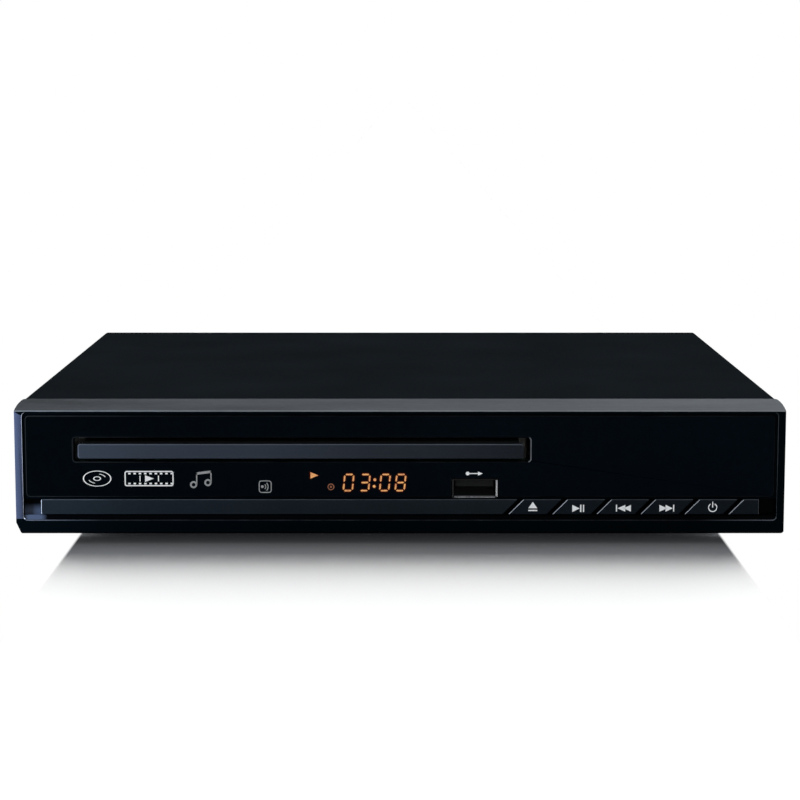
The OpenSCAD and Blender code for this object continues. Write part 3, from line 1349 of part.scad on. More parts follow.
// Two-pole mains inlet with a flange outside the panel and a body inside
module mains_inlet()
    color("#1b1c1e") difference() {
        union() {
            along_y(panel_y + sheet_t, inlet_flange_t) translate([inlet_x, inlet_z])
                round_rect(inlet_w, inlet_h, 3);
            along_y(panel_y - inlet_d, inlet_d + sheet_t + e) translate([inlet_x, inlet_z])
                round_rect(inlet_w - 14.6, inlet_h - 4, 1.3);
        }
        along_y(panel_y - inlet_d + 3, 14) translate([inlet_x, inlet_z]) inlet_cavity();
        for (s = [-1, 1]) translate([inlet_x + s * (inlet_w / 2 - 3.4), panel_y, inlet_z])
            rotate([-90, 0, 0]) cylinder(r = hole_r, h = 6);
    }

// Figure-of-eight hollow of the inlet
module inlet_cavity() {
    square([contact_pitch, 6.2], center = true);
    for (s = [-1, 1]) translate([s * contact_pitch / 2, 0]) circle(d = 7.8);
}

module inlet_pins()
    color("#c8ccd0") for (s = [-1, 1])
        translate([inlet_x + s * contact_pitch / 2, panel_y - inlet_d + 3, inlet_z]) rotate([-90, 0, 0])
            rotate_extrude() polygon([[0, 0], [1.2, 0], [1.2, 8.4], [0.7, 9.2], [0, 9.2]]);

// Two wires from the inlet, one above the other along the floor, up to the power board
function wire_path(s) =
    let (x0 = inlet_x + (s - 0.5) * contact_pitch, y0 = loader_y1 + wire_r + fit, x1 = board_x0 - 5,
        y1 = power_y0 + 56 + (s == 0 ? -2 : 2), z0 = floor_z + wire_r + 0.15 + s * (2 * wire_r + 0.15))
    [[x0, panel_y - inlet_d - 0.1, inlet_z], [x0, y0, inlet_z], [x0, y0, z0], [x1, y0, z0], [x1, y1, z0],
        [x1, y1, board_top + 3.5], [board_x0 + 2.9, y1, board_top + 3.5]];

module mains_wires()
    color("#5a3b2a") for (s = [0, 1]) tube(wire_path(s), wire_r, wire_bend);

// Round tube along a path with square turns, each turn an arc of radius bend
module tube(path, r, bend) {
    last = len(path) - 1;
    for (i = [0:last - 1]) {
        u = (path[i + 1] - path[i]) / norm(path[i + 1] - path[i]);
        a = path[i] + u * (i == 0 ? 0 : bend);
        l = norm(path[i + 1] - a) - (i == last - 1 ? 0 : bend);
        translate(a) rotate([0, acos(u[2]), atan2(u[1], u[0])]) cylinder(r = r, h = l);
    }
    for (i = [1:last - 1]) {
        u = (path[i] - path[i - 1]) / norm(path[i] - path[i - 1]);
        v = (path[i + 1] - path[i]) / norm(path[i + 1] - path[i]);
        w = cross(u, v);
        c = path[i] + (v - u) * bend;
        multmatrix([[-v[0], u[0], w[0], c[0]], [-v[1], u[1], w[1], c[1]], [-v[2], u[2], w[2], c[2]]])
            rotate_extrude(angle = 90) translate([bend, 0]) circle(r);
    }
}

// Flat cable under the power board, from the main board to the front board
module front_ribbon()
    color("#d8d6cc") translate([board_x0 + 24, 0, 0]) along_x(10) {
        drop_y = cover_y + tongue_d + 0.4;
        path = [[front_board_y + board_t + 0.05, 14], [drop_y, 14], [drop_y, floor_z + 0.5],
            [main_y0 - 3, floor_z + 0.5],
            [main_y0 - 3, board_top + 3], [main_y0 - 0.1, board_top + 3]];
        polygon(strip_outline(path, 0.4));
    }

top_cover();
base_pan();
rear_panel();
front_bezel();
fascia_window();
button_trim();
eject_button();
play_pause_button();
previous_button();
next_button();
power_button();
feet();
cover_screws();
panel_screws();
tray_door();
disc_tray();
loader_frame();
loader_screws();
clamp_bridge();
clamp_puck();
clamp_magnet();
lift_frame();
traverse_plate();
dampers();
spindle_motor();
turntable();
turntable_mat();
guide_rods();
pickup_sled();
pickup_lens();
sled_motor();
lead_screw();
cam_slider();
loading_motor();
motor_pulley();
drive_belt();
pulley_gear();
drive_gear();
main_board();
main_board_chips();
board_connectors();
board_capacitors();
power_board();
transformer();
heat_sink();
board_screws();
front_board();
led_display();
ir_receiver();
tact_switches();
usb_board();
usb_socket();
hdmi_socket();
jack_block();
jack_barrels();
jack_inserts();
mains_inlet();
inlet_pins();
mains_wires();
front_ribbon();
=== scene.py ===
"""Looks of a compact black disc player with a motorised tray."""
import json
import math
import bpy
import bmesh
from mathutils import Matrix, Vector

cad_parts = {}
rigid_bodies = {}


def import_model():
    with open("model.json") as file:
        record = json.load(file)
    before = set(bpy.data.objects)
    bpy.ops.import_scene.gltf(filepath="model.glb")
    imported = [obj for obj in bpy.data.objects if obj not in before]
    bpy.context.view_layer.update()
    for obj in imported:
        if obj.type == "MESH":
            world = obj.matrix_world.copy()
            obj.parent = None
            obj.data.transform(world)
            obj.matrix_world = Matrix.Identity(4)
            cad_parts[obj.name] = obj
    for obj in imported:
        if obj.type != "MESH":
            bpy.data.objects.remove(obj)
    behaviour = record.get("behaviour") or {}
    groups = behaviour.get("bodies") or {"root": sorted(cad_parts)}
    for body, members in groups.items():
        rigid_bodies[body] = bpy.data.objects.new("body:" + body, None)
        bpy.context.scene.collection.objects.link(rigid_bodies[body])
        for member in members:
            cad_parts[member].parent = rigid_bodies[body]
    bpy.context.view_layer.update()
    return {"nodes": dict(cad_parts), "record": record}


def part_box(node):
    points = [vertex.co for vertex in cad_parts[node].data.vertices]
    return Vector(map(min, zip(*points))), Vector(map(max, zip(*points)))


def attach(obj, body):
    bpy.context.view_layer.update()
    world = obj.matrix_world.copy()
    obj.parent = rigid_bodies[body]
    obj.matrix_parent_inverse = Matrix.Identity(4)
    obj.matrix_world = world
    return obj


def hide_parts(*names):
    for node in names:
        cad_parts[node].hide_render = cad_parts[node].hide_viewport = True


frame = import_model()
nodes = frame["nodes"]
slot_of = {part["node"]: part["material_slot"] for part in frame["record"]["subparts"]}
body_of_node = {n: b for b, group in frame["record"]["behaviour"]["bodies"].items() for n in group}
scene = bpy.context.scene
scene.view_settings.view_transform = "Standard"
MM = 0.001


# Shader nodes

def new_material(name):
    mat = bpy.data.materials.new(name)
    mat.use_nodes = True
    return mat, mat.node_tree, mat.node_tree.nodes["Principled BSDF"]


def add(tree, kind, **values):
    node = tree.nodes.new("ShaderNode" + kind)
    for key, value in values.items():
        setattr(node, key, value)
    return node


def place(tree, stretch=(1, 1, 1)):
    """Object coordinates in metres, stretched along the axes."""
    coord = add(tree, "TexCoord")
    mapping = add(tree, "Mapping")
    mapping.inputs["Scale"].default_value = stretch
    tree.links.new(coord.outputs["Object"], mapping.inputs["Vector"])
    return mapping.outputs["Vector"]


def noise(tree, vector, scale, detail=3.0, rough=0.5):
    node = add(tree, "TexNoise")
    node.inputs["Scale"].default_value = scale
    node.inputs["Detail"].default_value = detail
    node.inputs["Roughness"].default_value = rough
    tree.links.new(vector, node.inputs["Vector"])
    return node.outputs["Fac"]


def spread(tree, value, low, high, start=0.35, end=0.65):
    """Spreads a value between start and end over low to high."""
    node = add(tree, "MapRange")
    node.inputs["From Min"].default_value = start
    node.inputs["From Max"].default_value = end
    node.inputs["To Min"].default_value = low
    node.inputs["To Max"].default_value = high
    tree.links.new(value, node.inputs["Value"])
    return node.outputs["Result"]


def tint(tree, factor, dark, light):
    node = add(tree, "Mix", data_type="RGBA")
    node.inputs["A"].default_value = (*dark, 1)
    node.inputs["B"].default_value = (*light, 1)
    tree.links.new(factor, node.inputs["Factor"])
    return node.outputs["Result"]


def maths(tree, operation, a, b):
    node = add(tree, "Math", operation=operation)
    for socket, value in zip(node.inputs, (a, b)):
        if isinstance(value, (int, float)):
            socket.default_value = value
        else:
            tree.links.new(value, socket)
    return node.outputs["Value"]


def bump(tree, shader, height, depth):
    node = add(tree, "Bump")
    node.inputs["Distance"].default_value = depth
    tree.links.new(height, node.inputs["Height"])
    tree.links.new(node.outputs["Normal"], shader.inputs["Normal"])


FINE_SHARE, BROAD_SHARE = 0.4, 0.6      # parts of the grain and of the slow change in the tone
COAT_ROUGHNESS = 0.08


# Its ramp and fades paint light and shade that change along a piece
def finish(name, colour, rough, spec=0.5, metal=0.0, grain=1400, depth=4e-6, vary=0.12, loose=0.05,
           stretch=(1, 1, 1), cloud=26, coat=0.0, glow=0.0, ramp=0.0, fades=(("X", -112.5, 112.5),),
           light=None, masked=False):
    """A surface with fine grain, a slow change of tone, and a roughness that follows both.

    ramp is the part of the tone that follows fades: each an axis, the place of its dark end and the place
    of its light end, in mm. A minus sign before the axis means the distance to the middle. light replaces
    the lightest tone. masked lets the change of tone show only at the light end."""
    mat, tree, shader = new_material(name)
    vector = place(tree, stretch)
    fine = noise(tree, vector, grain, 4, 0.6)
    broad = noise(tree, vector, cloud, 3)
    both = maths(tree, "ADD", maths(tree, "MULTIPLY", fine, FINE_SHARE),
                 maths(tree, "MULTIPLY", broad, BROAD_SHARE))
    shade = spread(tree, both, 0, 1)
    if ramp:
        across = add(tree, "SeparateXYZ")
        tree.links.new(place(tree), across.inputs["Vector"])
        lit_part = ramp
        for axis, dark_end, light_end in fades:
            along = across.outputs[axis[-1]]
            if axis[0] == "-":
                along = maths(tree, "ABSOLUTE", along, 0)
            here = spread(tree, along, 0, 1, dark_end * MM, light_end * MM)
            lit_part = maths(tree, "MULTIPLY", here, lit_part)
        if masked:
            shade = maths(tree, "MULTIPLY", shade, lit_part)
        else:
            shade = maths(tree, "ADD", maths(tree, "MULTIPLY", shade, 1 - ramp), lit_part)
    darkest = [c * (1 - vary) for c in colour]
    lightest = light or [c * (1 + vary) for c in colour]
    tone = tint(tree, shade, darkest, lightest)
    tree.links.new(tone, shader.inputs["Base Color"])
    tree.links.new(spread(tree, both, rough - loose, rough + loose), shader.inputs["Roughness"])
    shader.inputs["Metallic"].default_value = metal
    shader.inputs["Specular IOR Level"].default_value = spec
    shader.inputs["Coat Weight"].default_value = coat
    shader.inputs["Coat Roughness"].default_value = COAT_ROUGHNESS
    if glow:
        tree.links.new(tone, shader.inputs["Emission Color"])
        shader.inputs["Emission Strength"].default_value = glow
    bump(tree, shader, fine, depth)
    return mat


# Finishes of the record's slots. grain and cloud are per metre, depth is in metres.
SURFACES = {
    "cover_paint": dict(colour=(0.0053, 0.0070, 0.0084), rough=0.7, spec=0.0, grain=2600, depth=1.2e-5,
                        vary=0.16),
    "pan_steel": dict(colour=(0.42, 0.44, 0.46), rough=0.42, metal=1.0, grain=700, depth=2e-6, cloud=60,
                      vary=0.18),
    "panel_paint": dict(colour=(0.016, 0.018, 0.020), rough=0.6, spec=0.08, grain=2600, depth=1e-5),
    "bezel_plastic": dict(colour=(0.0004, 0.0014, 0.0021), rough=0.4, spec=0.006, grain=1800, depth=3e-6),
    "fascia_gloss": dict(colour=(0.0008, 0.0024, 0.0043), rough=0.08, spec=0.006, grain=300, depth=1e-6,
                         loose=0.02),
    "button_plastic": dict(colour=(0.0052, 0.0075, 0.0104), rough=0.34, spec=0.01, grain=2200, depth=3e-6),
    "trim_plastic": dict(colour=(0.0070, 0.0098, 0.0125), rough=0.4, spec=0.01, grain=2200, depth=4e-6,
                         vary=0.2),
    # The door's tone is painted lighter towards its left end, a painted gradient of light
    "door_plastic": dict(colour=(0.0137, 0.0169, 0.0222), rough=0.5, spec=0.03, grain=2600, depth=8e-6,
                         vary=0.5, ramp=0.85, fades=(("X", 36, -42),)),
    "tray_plastic": dict(colour=(0.0085, 0.0095, 0.0105), rough=0.5, spec=0.04, grain=2200, depth=1e-5),
    "foot_rubber": dict(colour=(0.012, 0.012, 0.013), rough=0.8, spec=0.1, grain=1600, depth=2e-5),
    "dark_screw": dict(colour=(0.06, 0.065, 0.07), rough=0.38, metal=0.8, grain=1500, depth=3e-6),
    "bright_screw": dict(colour=(0.52, 0.54, 0.56), rough=0.3, metal=1.0, grain=1500, depth=3e-6),
    "loader_plastic": dict(colour=(0.36, 0.37, 0.35), rough=0.5, spec=0.4, grain=1200, depth=8e-6),
    "steel": dict(colour=(0.5, 0.52, 0.54), rough=0.34, metal=1.0, stretch=(1, 24, 1), grain=900,
                  depth=2e-6),
    "puck_plastic": dict(colour=(0.66, 0.66, 0.63), rough=0.4, spec=0.5, grain=900, depth=4e-6),
    "magnet": dict(colour=(0.1, 0.1, 0.11), rough=0.55, metal=0.6, grain=2500, depth=1e-5, vary=0.3),
    "frame_plastic": dict(colour=(0.03, 0.032, 0.035), rough=0.48, spec=0.3, grain=1500, depth=1e-5),
    "soft_rubber": dict(colour=(0.016, 0.017, 0.018), rough=0.7, spec=0.15, grain=1800, depth=1.2e-5),
    "motor_steel": dict(colour=(0.4, 0.42, 0.44), rough=0.3, metal=1.0, stretch=(1, 1, 18), grain=1200,
                        depth=2e-6),
    "table_plastic": dict(colour=(0.035, 0.038, 0.042), rough=0.35, spec=0.4, grain=1200, depth=4e-6),
    "rod_chrome": dict(colour=(0.62, 0.64, 0.66), rough=0.12, metal=1.0, stretch=(1, 12, 1), grain=800,
                       depth=8e-7),
    "sled_metal": dict(colour=(0.32, 0.33, 0.34), rough=0.45, metal=1.0, grain=1100, depth=8e-6, vary=0.2),
    "lens_plastic": dict(colour=(0.02, 0.022, 0.024), rough=0.4, spec=0.4, grain=1600, depth=5e-6),
    "gear_plastic": dict(colour=(0.66, 0.65, 0.59), rough=0.42, spec=0.5, grain=1300, depth=4e-6),
    "board_green": dict(colour=(0.012, 0.085, 0.035), rough=0.32, spec=0.4, grain=500, depth=1.2e-5,
                        vary=0.35, cloud=220),
    "board_brown": dict(colour=(0.3, 0.18, 0.07), rough=0.5, spec=0.4, grain=900, depth=6e-6, vary=0.25),
    "chip_black": dict(colour=(0.014, 0.015, 0.016), rough=0.5, spec=0.3, grain=2400, depth=8e-6),
    "connector_white": dict(colour=(0.62, 0.6, 0.54), rough=0.45, spec=0.5, grain=1200, depth=5e-6),
    "capacitor_sleeve": dict(colour=(0.02, 0.035, 0.075), rough=0.28, spec=0.5, grain=900, depth=4e-6),
    "transformer_core": dict(colour=(0.05, 0.045, 0.04), rough=0.6, spec=0.3, grain=1700, depth=1.2e-5,
                             vary=0.25),
    "heat_sink": dict(colour=(0.5, 0.52, 0.54), rough=0.4, metal=1.0, stretch=(1, 1, 20), grain=900,
                      depth=4e-6),
    "display_face": dict(colour=(0.03, 0.02, 0.018), rough=0.3, spec=0.4, grain=1500, depth=3e-6),
    "ir_lens": dict(colour=(0.016, 0.008, 0.01), rough=0.16, spec=0.5, grain=800, depth=1e-6),
    "switch_metal": dict(colour=(0.45, 0.47, 0.48), rough=0.32, metal=1.0, grain=1500, depth=3e-6),
    "socket_steel": dict(colour=(0.55, 0.57, 0.58), rough=0.22, metal=1.0, stretch=(1, 10, 1), grain=900,
                         depth=2e-6),
    "socket_black": dict(colour=(0.008, 0.0085, 0.009), rough=0.5, spec=0.1, grain=1800, depth=6e-6),
    "barrel_plate": dict(colour=(0.62, 0.5, 0.27), rough=0.2, metal=1.0, stretch=(1, 30, 1), grain=700,
                         depth=1.5e-6),
    "insert_colours": dict(colour=(0.62, 0.46, 0.03), rough=0.32, spec=0.5, grain=1200, depth=3e-6),
    "wire_brown": dict(colour=(0.1, 0.04, 0.022), rough=0.35, spec=0.5, grain=900, depth=4e-6),
    "ribbon_white": dict(colour=(0.66, 0.64, 0.58), rough=0.5, spec=0.4, stretch=(30, 1, 1), grain=90,
                         depth=2e-5),
}

# Second finishes on the same pieces: painted highlights, sheen and glints, prints, lit digits and coloured
# inserts
ACCENTS = {
    # The sloped band: a grey satin finish with a painted sheen that grows lighter towards the right
    "satin_band_with_painted_sheen": dict(colour=(0.052, 0.057, 0.063), rough=0.55, spec=0.002, stretch=(0.15, 1, 1),
                       grain=2600, depth=5e-6, cloud=150, vary=0.75, ramp=0.7),
    # A painted highlight along the lower front edge of the band, a little lighter towards the right
    "band_lower_highlight": dict(colour=(0.10, 0.11, 0.12), rough=0.4, spec=0.01, stretch=(0.1, 1, 1), grain=1800,
                      depth=2e-6, cloud=150, vary=0.4, ramp=0.3),
    # A painted bluish reflection on the left cheek, lightest at its outer edge
    "cheek_painted_reflection": dict(colour=(0.034, 0.042, 0.070), rough=0.45, spec=0.01, grain=1800, depth=3e-6,
                        cloud=60, vary=0.5, ramp=0.75, fades=(("X", -110.3, -112.5),)),
    # A painted bluish reflection in the lower half of the notch at the left end of the button row;
    "notch_painted_reflection": dict(colour=(0.021, 0.027, 0.042), rough=0.45, spec=0.01, grain=1800, depth=3e-6,
                        cloud=500, vary=0.98, ramp=1, fades=(("X", -103.5, -105.2), ("Z", 11.6, 9.6))),
    # A painted highlight on the rounded left rim of the bezel's recess
    "left_rim_highlight": dict(colour=(0.52, 0.57, 0.68), rough=0.4, spec=0.05, grain=1500, depth=2e-6, vary=0.3,
                     cloud=90),
    # A dim painted highlight on the rounded right rim of the recess
    "right_rim_highlight": dict(colour=(0.060, 0.068, 0.075), rough=0.4, spec=0.02, grain=1500, depth=2e-6, vary=0.3),
    # A faint painted highlight round the window's rim, lighter towards the left
    "faint_rim_highlight": dict(colour=(0.012, 0.015, 0.018), rough=0.4, spec=0.01, grain=1500, depth=2e-6, vary=0.9,
                      cloud=160, ramp=0.8, fades=(("X", -70, -108),)),
    # A painted highlight along the top edge of the lip, bright only near both ends
    "low_rim_highlight": dict(colour=(0.036, 0.040, 0.048), rough=0.4, spec=0.01, grain=1500, depth=2e-6, vary=0.92,
                    cloud=160, ramp=0.85, fades=(("-X", 88, 109),)),
    # A painted highlight on the right edge of the slot
    "slot_highlight": dict(colour=(0.12, 0.13, 0.14), rough=0.4, spec=0.02, grain=1500, depth=2e-6, vary=0.3),
    # A bright painted highlight on rounded edges that lean to the left
    "bright_edge_highlight": dict(colour=(0.34, 0.355, 0.38), rough=0.4, spec=0.02, grain=1500, depth=2e-6,
                        vary=0.25),
    # A dim painted highlight on rounded top edges
    "dim_edge_highlight": dict(colour=(0.050, 0.056, 0.064), rough=0.4, spec=0.01, grain=1500, depth=2e-6, vary=0.35,
                     cloud=90),
    # A painted highlight on the door's rounded top and left edges
    "painted_door_highlight": dict(colour=(0.048, 0.054, 0.064), rough=0.4, spec=0.02, grain=1500, depth=2e-6, vary=0.2),
    # A painted highlight on the USB shell's right rim, which also glows a little
    "shell_rim_highlight": dict(colour=(0.78, 0.80, 0.83), rough=0.3, spec=0.3, grain=900, depth=2e-6, vary=0.12,
                       glow=0.6),
    # Painted glints on the contacts of the USB shell's floor, which also glow, only near the front
    "shell_contact_glints": dict(colour=(0.055, 0.057, 0.062), rough=0.4, spec=0.1, grain=2600, depth=2e-6,
                       vary=0.95, cloud=1400, glow=0.6, light=(0.26, 0.27, 0.29), ramp=1, masked=True,
                       fades=(("Y", -100.5, -103.4),)),
    # A faint painted highlight on the USB shell's front left edge
    "shell_left_highlight": dict(colour=(0.05, 0.052, 0.055), rough=0.4, spec=0.02, grain=900, depth=2e-6, vary=0.2),
    "insert_white": dict(colour=(0.6, 0.6, 0.57), rough=0.32, grain=1200),
    "insert_red": dict(colour=(0.5, 0.025, 0.02), rough=0.32, grain=1200),
    "insert_orange": dict(colour=(0.55, 0.16, 0.02), rough=0.32, grain=1200),
    "print_white": dict(colour=(0.80, 0.82, 0.84), rough=0.6, spec=0.05, grain=2500, vary=0.05),
    "print_grey": dict(colour=(0.30, 0.31, 0.32), rough=0.6, spec=0.05, grain=2500, vary=0.08),
    "segment_lit": dict(colour=(0.66, 0.24, 0.13), rough=0.5, spec=0.0, grain=900, vary=0.25, cloud=700,
                        glow=0.3, light=(0.80, 0.42, 0.14)),
    "segment_dim": dict(colour=(0.20, 0.085, 0.05), rough=0.5, spec=0.0, grain=900, vary=0.2, cloud=700,
                        glow=0.3),
    "segment_halo": dict(colour=(0.024, 0.0036, 0.0014), rough=0.6, spec=0.0, grain=900, vary=0.3,
                         glow=0.5),
    "winding_tape": dict(colour=(0.6, 0.42, 0.06), rough=0.35, grain=900),
    "can_top": dict(colour=(0.55, 0.56, 0.57), rough=0.35, metal=1.0, grain=1200, depth=3e-6),
    "lens_glass": dict(colour=(0.05, 0.09, 0.2), rough=0.06, coat=0.6, grain=300, depth=1e-7, loose=0.02),
}
materials = {name: finish(name, **values) for name, values in (SURFACES | ACCENTS).items()}


# Shapes

def link(name, mesh):
    obj = bpy.data.objects.new(name, mesh)
    scene.collection.objects.link(obj)
    return obj


def smooth(mesh, angle=40):
    """Smooth shading that breaks at sharp edges."""
    mesh.polygons.foreach_set("use_smooth", [True] * len(mesh.polygons))
    mesh.set_sharp_from_angle(angle=math.radians(angle))


def finished(obj):
    """Turns the modifiers of obj into plain mesh."""
    bpy.context.view_layer.update()
    graph = bpy.context.evaluated_depsgraph_get()
    mesh = bpy.data.meshes.new_from_object(obj.evaluated_get(graph))
    obj.modifiers.clear()
    obj.data = mesh
    return mesh


SAME_WAY = 0.8          # cosine above which two edges count as one line
ROOM_SHARE = 0.45       # part of a neighbour's length that a rounding may take
WELD = 2e-6             # metres


def room_at(edge, sharp):
    """How far an edge can be rounded before it meets the next corner, in metres."""
    room = 1.0
    along = (edge.verts[1].co - edge.verts[0].co).normalized()
    for vert in edge.verts:
        for other in vert.link_edges:
            if other == edge:
                continue
            way = (other.other_vert(vert).co - vert.co).normalized()
            if other in sharp and abs(way.dot(along)) > SAME_WAY:
                continue
            room = min(room, other.calc_length() * ROOM_SHARE)
    return room


def edged(node, width, segments=2, angle=32, levels=(), share=None):
    """A copy of a CAD node with its sharp edges rounded off by up to width (in mm), shown in its place.

    Its flat faces are split at the given heights (in mm), so that their parts can have different finishes.
    share, where given, takes the two ends of an edge in mm and returns the part of width that it gets."""
    mesh = nodes[node].data.copy()
    work = bmesh.new()
    work.from_mesh(mesh)
    bmesh.ops.remove_doubles(work, verts=work.verts, dist=WELD)
    bmesh.ops.dissolve_limit(work, angle_limit=math.radians(1), verts=work.verts, edges=work.edges)
    for height in levels:
        everything = [*work.verts, *work.edges, *work.faces]
        bmesh.ops.bisect_plane(work, geom=everything, plane_co=(0, 0, height * MM), plane_no=(0, 0, 1))
    weight = work.edges.layers.float.new("bevel_weight_edge")
    sharp = {e for e in work.edges if len(e.link_faces) == 2 and e.calc_face_angle() > math.radians(angle)}
    for edge in sharp:
        part = share(*(v.co / MM for v in edge.verts)) if share else 1
        edge[weight] = min(part, room_at(edge, sharp) / (width * MM))
    work.to_mesh(mesh)
    work.free()
    mesh.materials.clear()
    mesh.materials.append(materials[slot_of[node]])
    obj = link(node + "_body", mesh)
    rounding = obj.modifiers.new("rounding", "BEVEL")
    rounding.width = width * MM
    rounding.segments = segments
    rounding.limit_method = "WEIGHT"
    rounding.use_clamp_overlap = False
    finished(obj)
    smooth(obj.data)
    flats = obj.modifiers.new("flats", "WEIGHTED_NORMAL")
    flats.keep_sharp = True
    flats.weight = 100
    finished(obj)
    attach(obj, body_of_node[node])
    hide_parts(node)
    return obj


def paint(obj, material, chosen):
    """Gives the faces that pass the test another material; it takes their centre in mm and their normal."""
    obj.data.materials.append(materials[material])
    index = len(obj.data.materials) - 1
    for face in obj.data.polygons:
        if chosen(face.center / MM, face.normal):
            face.material_index = index


# Every node gets its slot's finish
for name, obj in nodes.items():
    obj.data.materials.clear()
    obj.data.materials.append(materials[slot_of[name]])
    obj.data.polygons.foreach_set("material_index", [0] * len(obj.data.polygons))
    smooth(obj.data, 30)

BUTTONS = ("eject", "play_pause", "previous", "next", "power")
bezel_low, bezel_high = (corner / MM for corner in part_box("front_bezel"))
glass_y = (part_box("fascia_window")[0] / MM).y

# Measures of the front, in mm
BAND_DROP, BAND_DEPTH = 2, 11           # height and depth of the sloped band at the top
CHEEK_WIDTH = 2.2
FACE_TOP = 38.9
# Between these heights the left cheek carries a painted reflection
CHEEK_LOW, CHEEK_HIGH = 7.4, 38.6       # ends of the lit part of the left cheek
SLOT_LEVELS = (25.6, 30.0)              # between them the window's face is cut apart beside the slot
NEAR = 0.05                             # slack when a face's place is compared
band_z = bezel_high.z - BAND_DROP
face_x = bezel_high.x - CHEEK_WIDTH


def rim_share(a, b):
    """Only the rim of the bezel's recess is rounded off, and less so just under the band."""
    if max(a.y, b.y) > bezel_low.y + NEAR or max(abs(a.x), abs(b.x)) > face_x + NEAR:
        return 0
    return 0.25 if max(a.z, b.z) > FACE_TOP - 1.4 else 1


# The outer pieces with their edges rounded off, in mm
BUTTON_EDGE = 0.14
ROUNDED = {"button_trim": BUTTON_EDGE, "tray_door": 0.3, "top_cover": 0.3, "rear_panel": 0.15,
           "disc_tray": 0.3, "usb_socket": 0.08, "hdmi_socket": 0.08, "mains_inlet": 0.25,
           "jack_barrels": 0.2, "jack_inserts": 0.15}
shown = {"front_bezel": edged("front_bezel", 0.35, levels=(CHEEK_LOW, CHEEK_HIGH), share=rim_share)}
shown["fascia_window"] = edged("fascia_window", 0.3, levels=SLOT_LEVELS)
for name, width in ROUNDED.items():
    shown[name] = edged(name, width)
for name in BUTTONS:
    shown[name] = edged(name + "_button", BUTTON_EDGE)


# Finishes that change over one piece: painted highlights, reflections and shade on the front, and inner
# parts' colours

def leans(normal, x=0.0, z=0.0):
    """True for a rounded front edge that leans to the given side."""
    return normal.y < -0.15 and normal.x * x + normal.z * z > 0.2


FRONT_EDGE, RIM_EDGE = 0.5, 0.45        # depths that hold the rounded front edges, in mm
RIM_OUT, RIM_IN = 0.5, 1.4              # reach of an upright rim to both sides of the face's end
LIP_TOP = 7
TRIM_END_X = 92                         # the blank end piece of the row lies beyond it
END_EDGE_X = 100                        # and its slanted right end beyond this
front_y = bezel_low.y


def on_rim(c, side):
    """True beside the left (-1) or the right (1) end of the recessed face."""
    reach = (-RIM_OUT, RIM_IN) if side < 0 else (-RIM_IN, RIM_OUT)
    end = side * face_x
    return end + reach[0] < c.x < end + reach[1] and LIP_TOP < c.z < band_z and c.y < front_y + RIM_EDGE


shell = shown["front_bezel"]
# The sloped band: grey satin with a painted sheen, lighter towards the right
paint(shell, "satin_band_with_painted_sheen",
      lambda c, n: c.z > band_z - NEAR and n.z > 0.25 and c.y < front_y + BAND_DEPTH)
# Painted highlight on the rounded lower front edge of the band
paint(shell, "band_lower_highlight", lambda c, n: band_z - 0.9 < c.z < band_z + 0.1 and c.y < front_y + FRONT_EDGE
      and leans(n, z=1) and n.z < 0.93)
# Painted bluish reflection on the front of the left cheek
paint(shell, "cheek_painted_reflection", lambda c, n: c.x < -face_x - 0.2 and CHEEK_LOW < c.z < band_z - 0.3
      and c.y < front_y + FRONT_EDGE and abs(n.z) < 0.5)
# Painted highlight on the left rim of the recess
paint(shell, "left_rim_highlight", lambda c, n: on_rim(c, -1) and leans(n, x=1))
# Painted highlight on the right rim of the recess
paint(shell, "right_rim_highlight", lambda c, n: on_rim(c, 1) and leans(n, x=-1))
# Painted highlight on the top edge of the lip
paint(shell, "low_rim_highlight", lambda c, n: abs(c.x) < face_x and 6.3 < c.z < 7.3 and c.y < front_y + FRONT_EDGE
      and leans(n, z=1))
# Painted reflection in the channel under the buttons, which shows only at its left end and is near black
# elsewhere
paint(shell, "notch_painted_reflection", lambda c, n: abs(c.x) < face_x + NEAR and LIP_TOP < c.z < 13.4
      and front_y + 0.55 < c.y < front_y + 3.2 and (n.y < -0.9 or n.z > 0.9))

window = shown["fascia_window"]
# Faint painted highlight on the rounded rim of the window
paint(window, "faint_rim_highlight", lambda c, n: c.y < glass_y + 0.35 and -0.97 < n.y < -0.15)
# Painted highlight on the slot's rounded right edge
paint(window, "slot_highlight", lambda c, n: 37 < c.x < 39 and 24 < c.z < 32 and leans(n, x=-1))

trim = shown["button_trim"]
paint(trim, "button_plastic", lambda c, n: c.x > TRIM_END_X)
# Dim painted highlights on the top edges and the slanted right end of the row
paint(trim, "dim_edge_highlight", lambda c, n: leans(n, z=1) or (c.x > END_EDGE_X and leans(n, x=1)))
# Bright painted highlights on the slanted left edges
paint(trim, "bright_edge_highlight", lambda c, n: leans(n, x=-1))
# The buttons get the same dim and bright painted highlights on their edges
for name in BUTTONS:
    paint(shown[name], "dim_edge_highlight", lambda c, n: leans(n, z=1))
    paint(shown[name], "bright_edge_highlight", lambda c, n: leans(n, x=-1))
# Painted shade: the door's top faces, in the gap under the window, get the bezel's near black
paint(shown["tray_door"], "bezel_plastic", lambda c, n: n.z > 0.9)
# Painted highlight on the door's top and left edges
paint(shown["tray_door"], "painted_door_highlight", lambda c, n: leans(n, z=1) or leans(n, x=-1))

# USB shell: near black as painted shade, with painted highlights on its right rim, floor contacts and left
# edge
SHELL_DEPTH = 14
SHELL_MIDDLE, SHELL_REACH = 6.6, 5      # the floor's middle from the shell's left side, and half its width
usb_low, usb_high = (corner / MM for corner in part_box("usb_socket"))
usb = shown["usb_socket"]
# Painted shade: the whole shell is made near black in place of its own finish
paint(usb, "socket_black", lambda c, n: True)
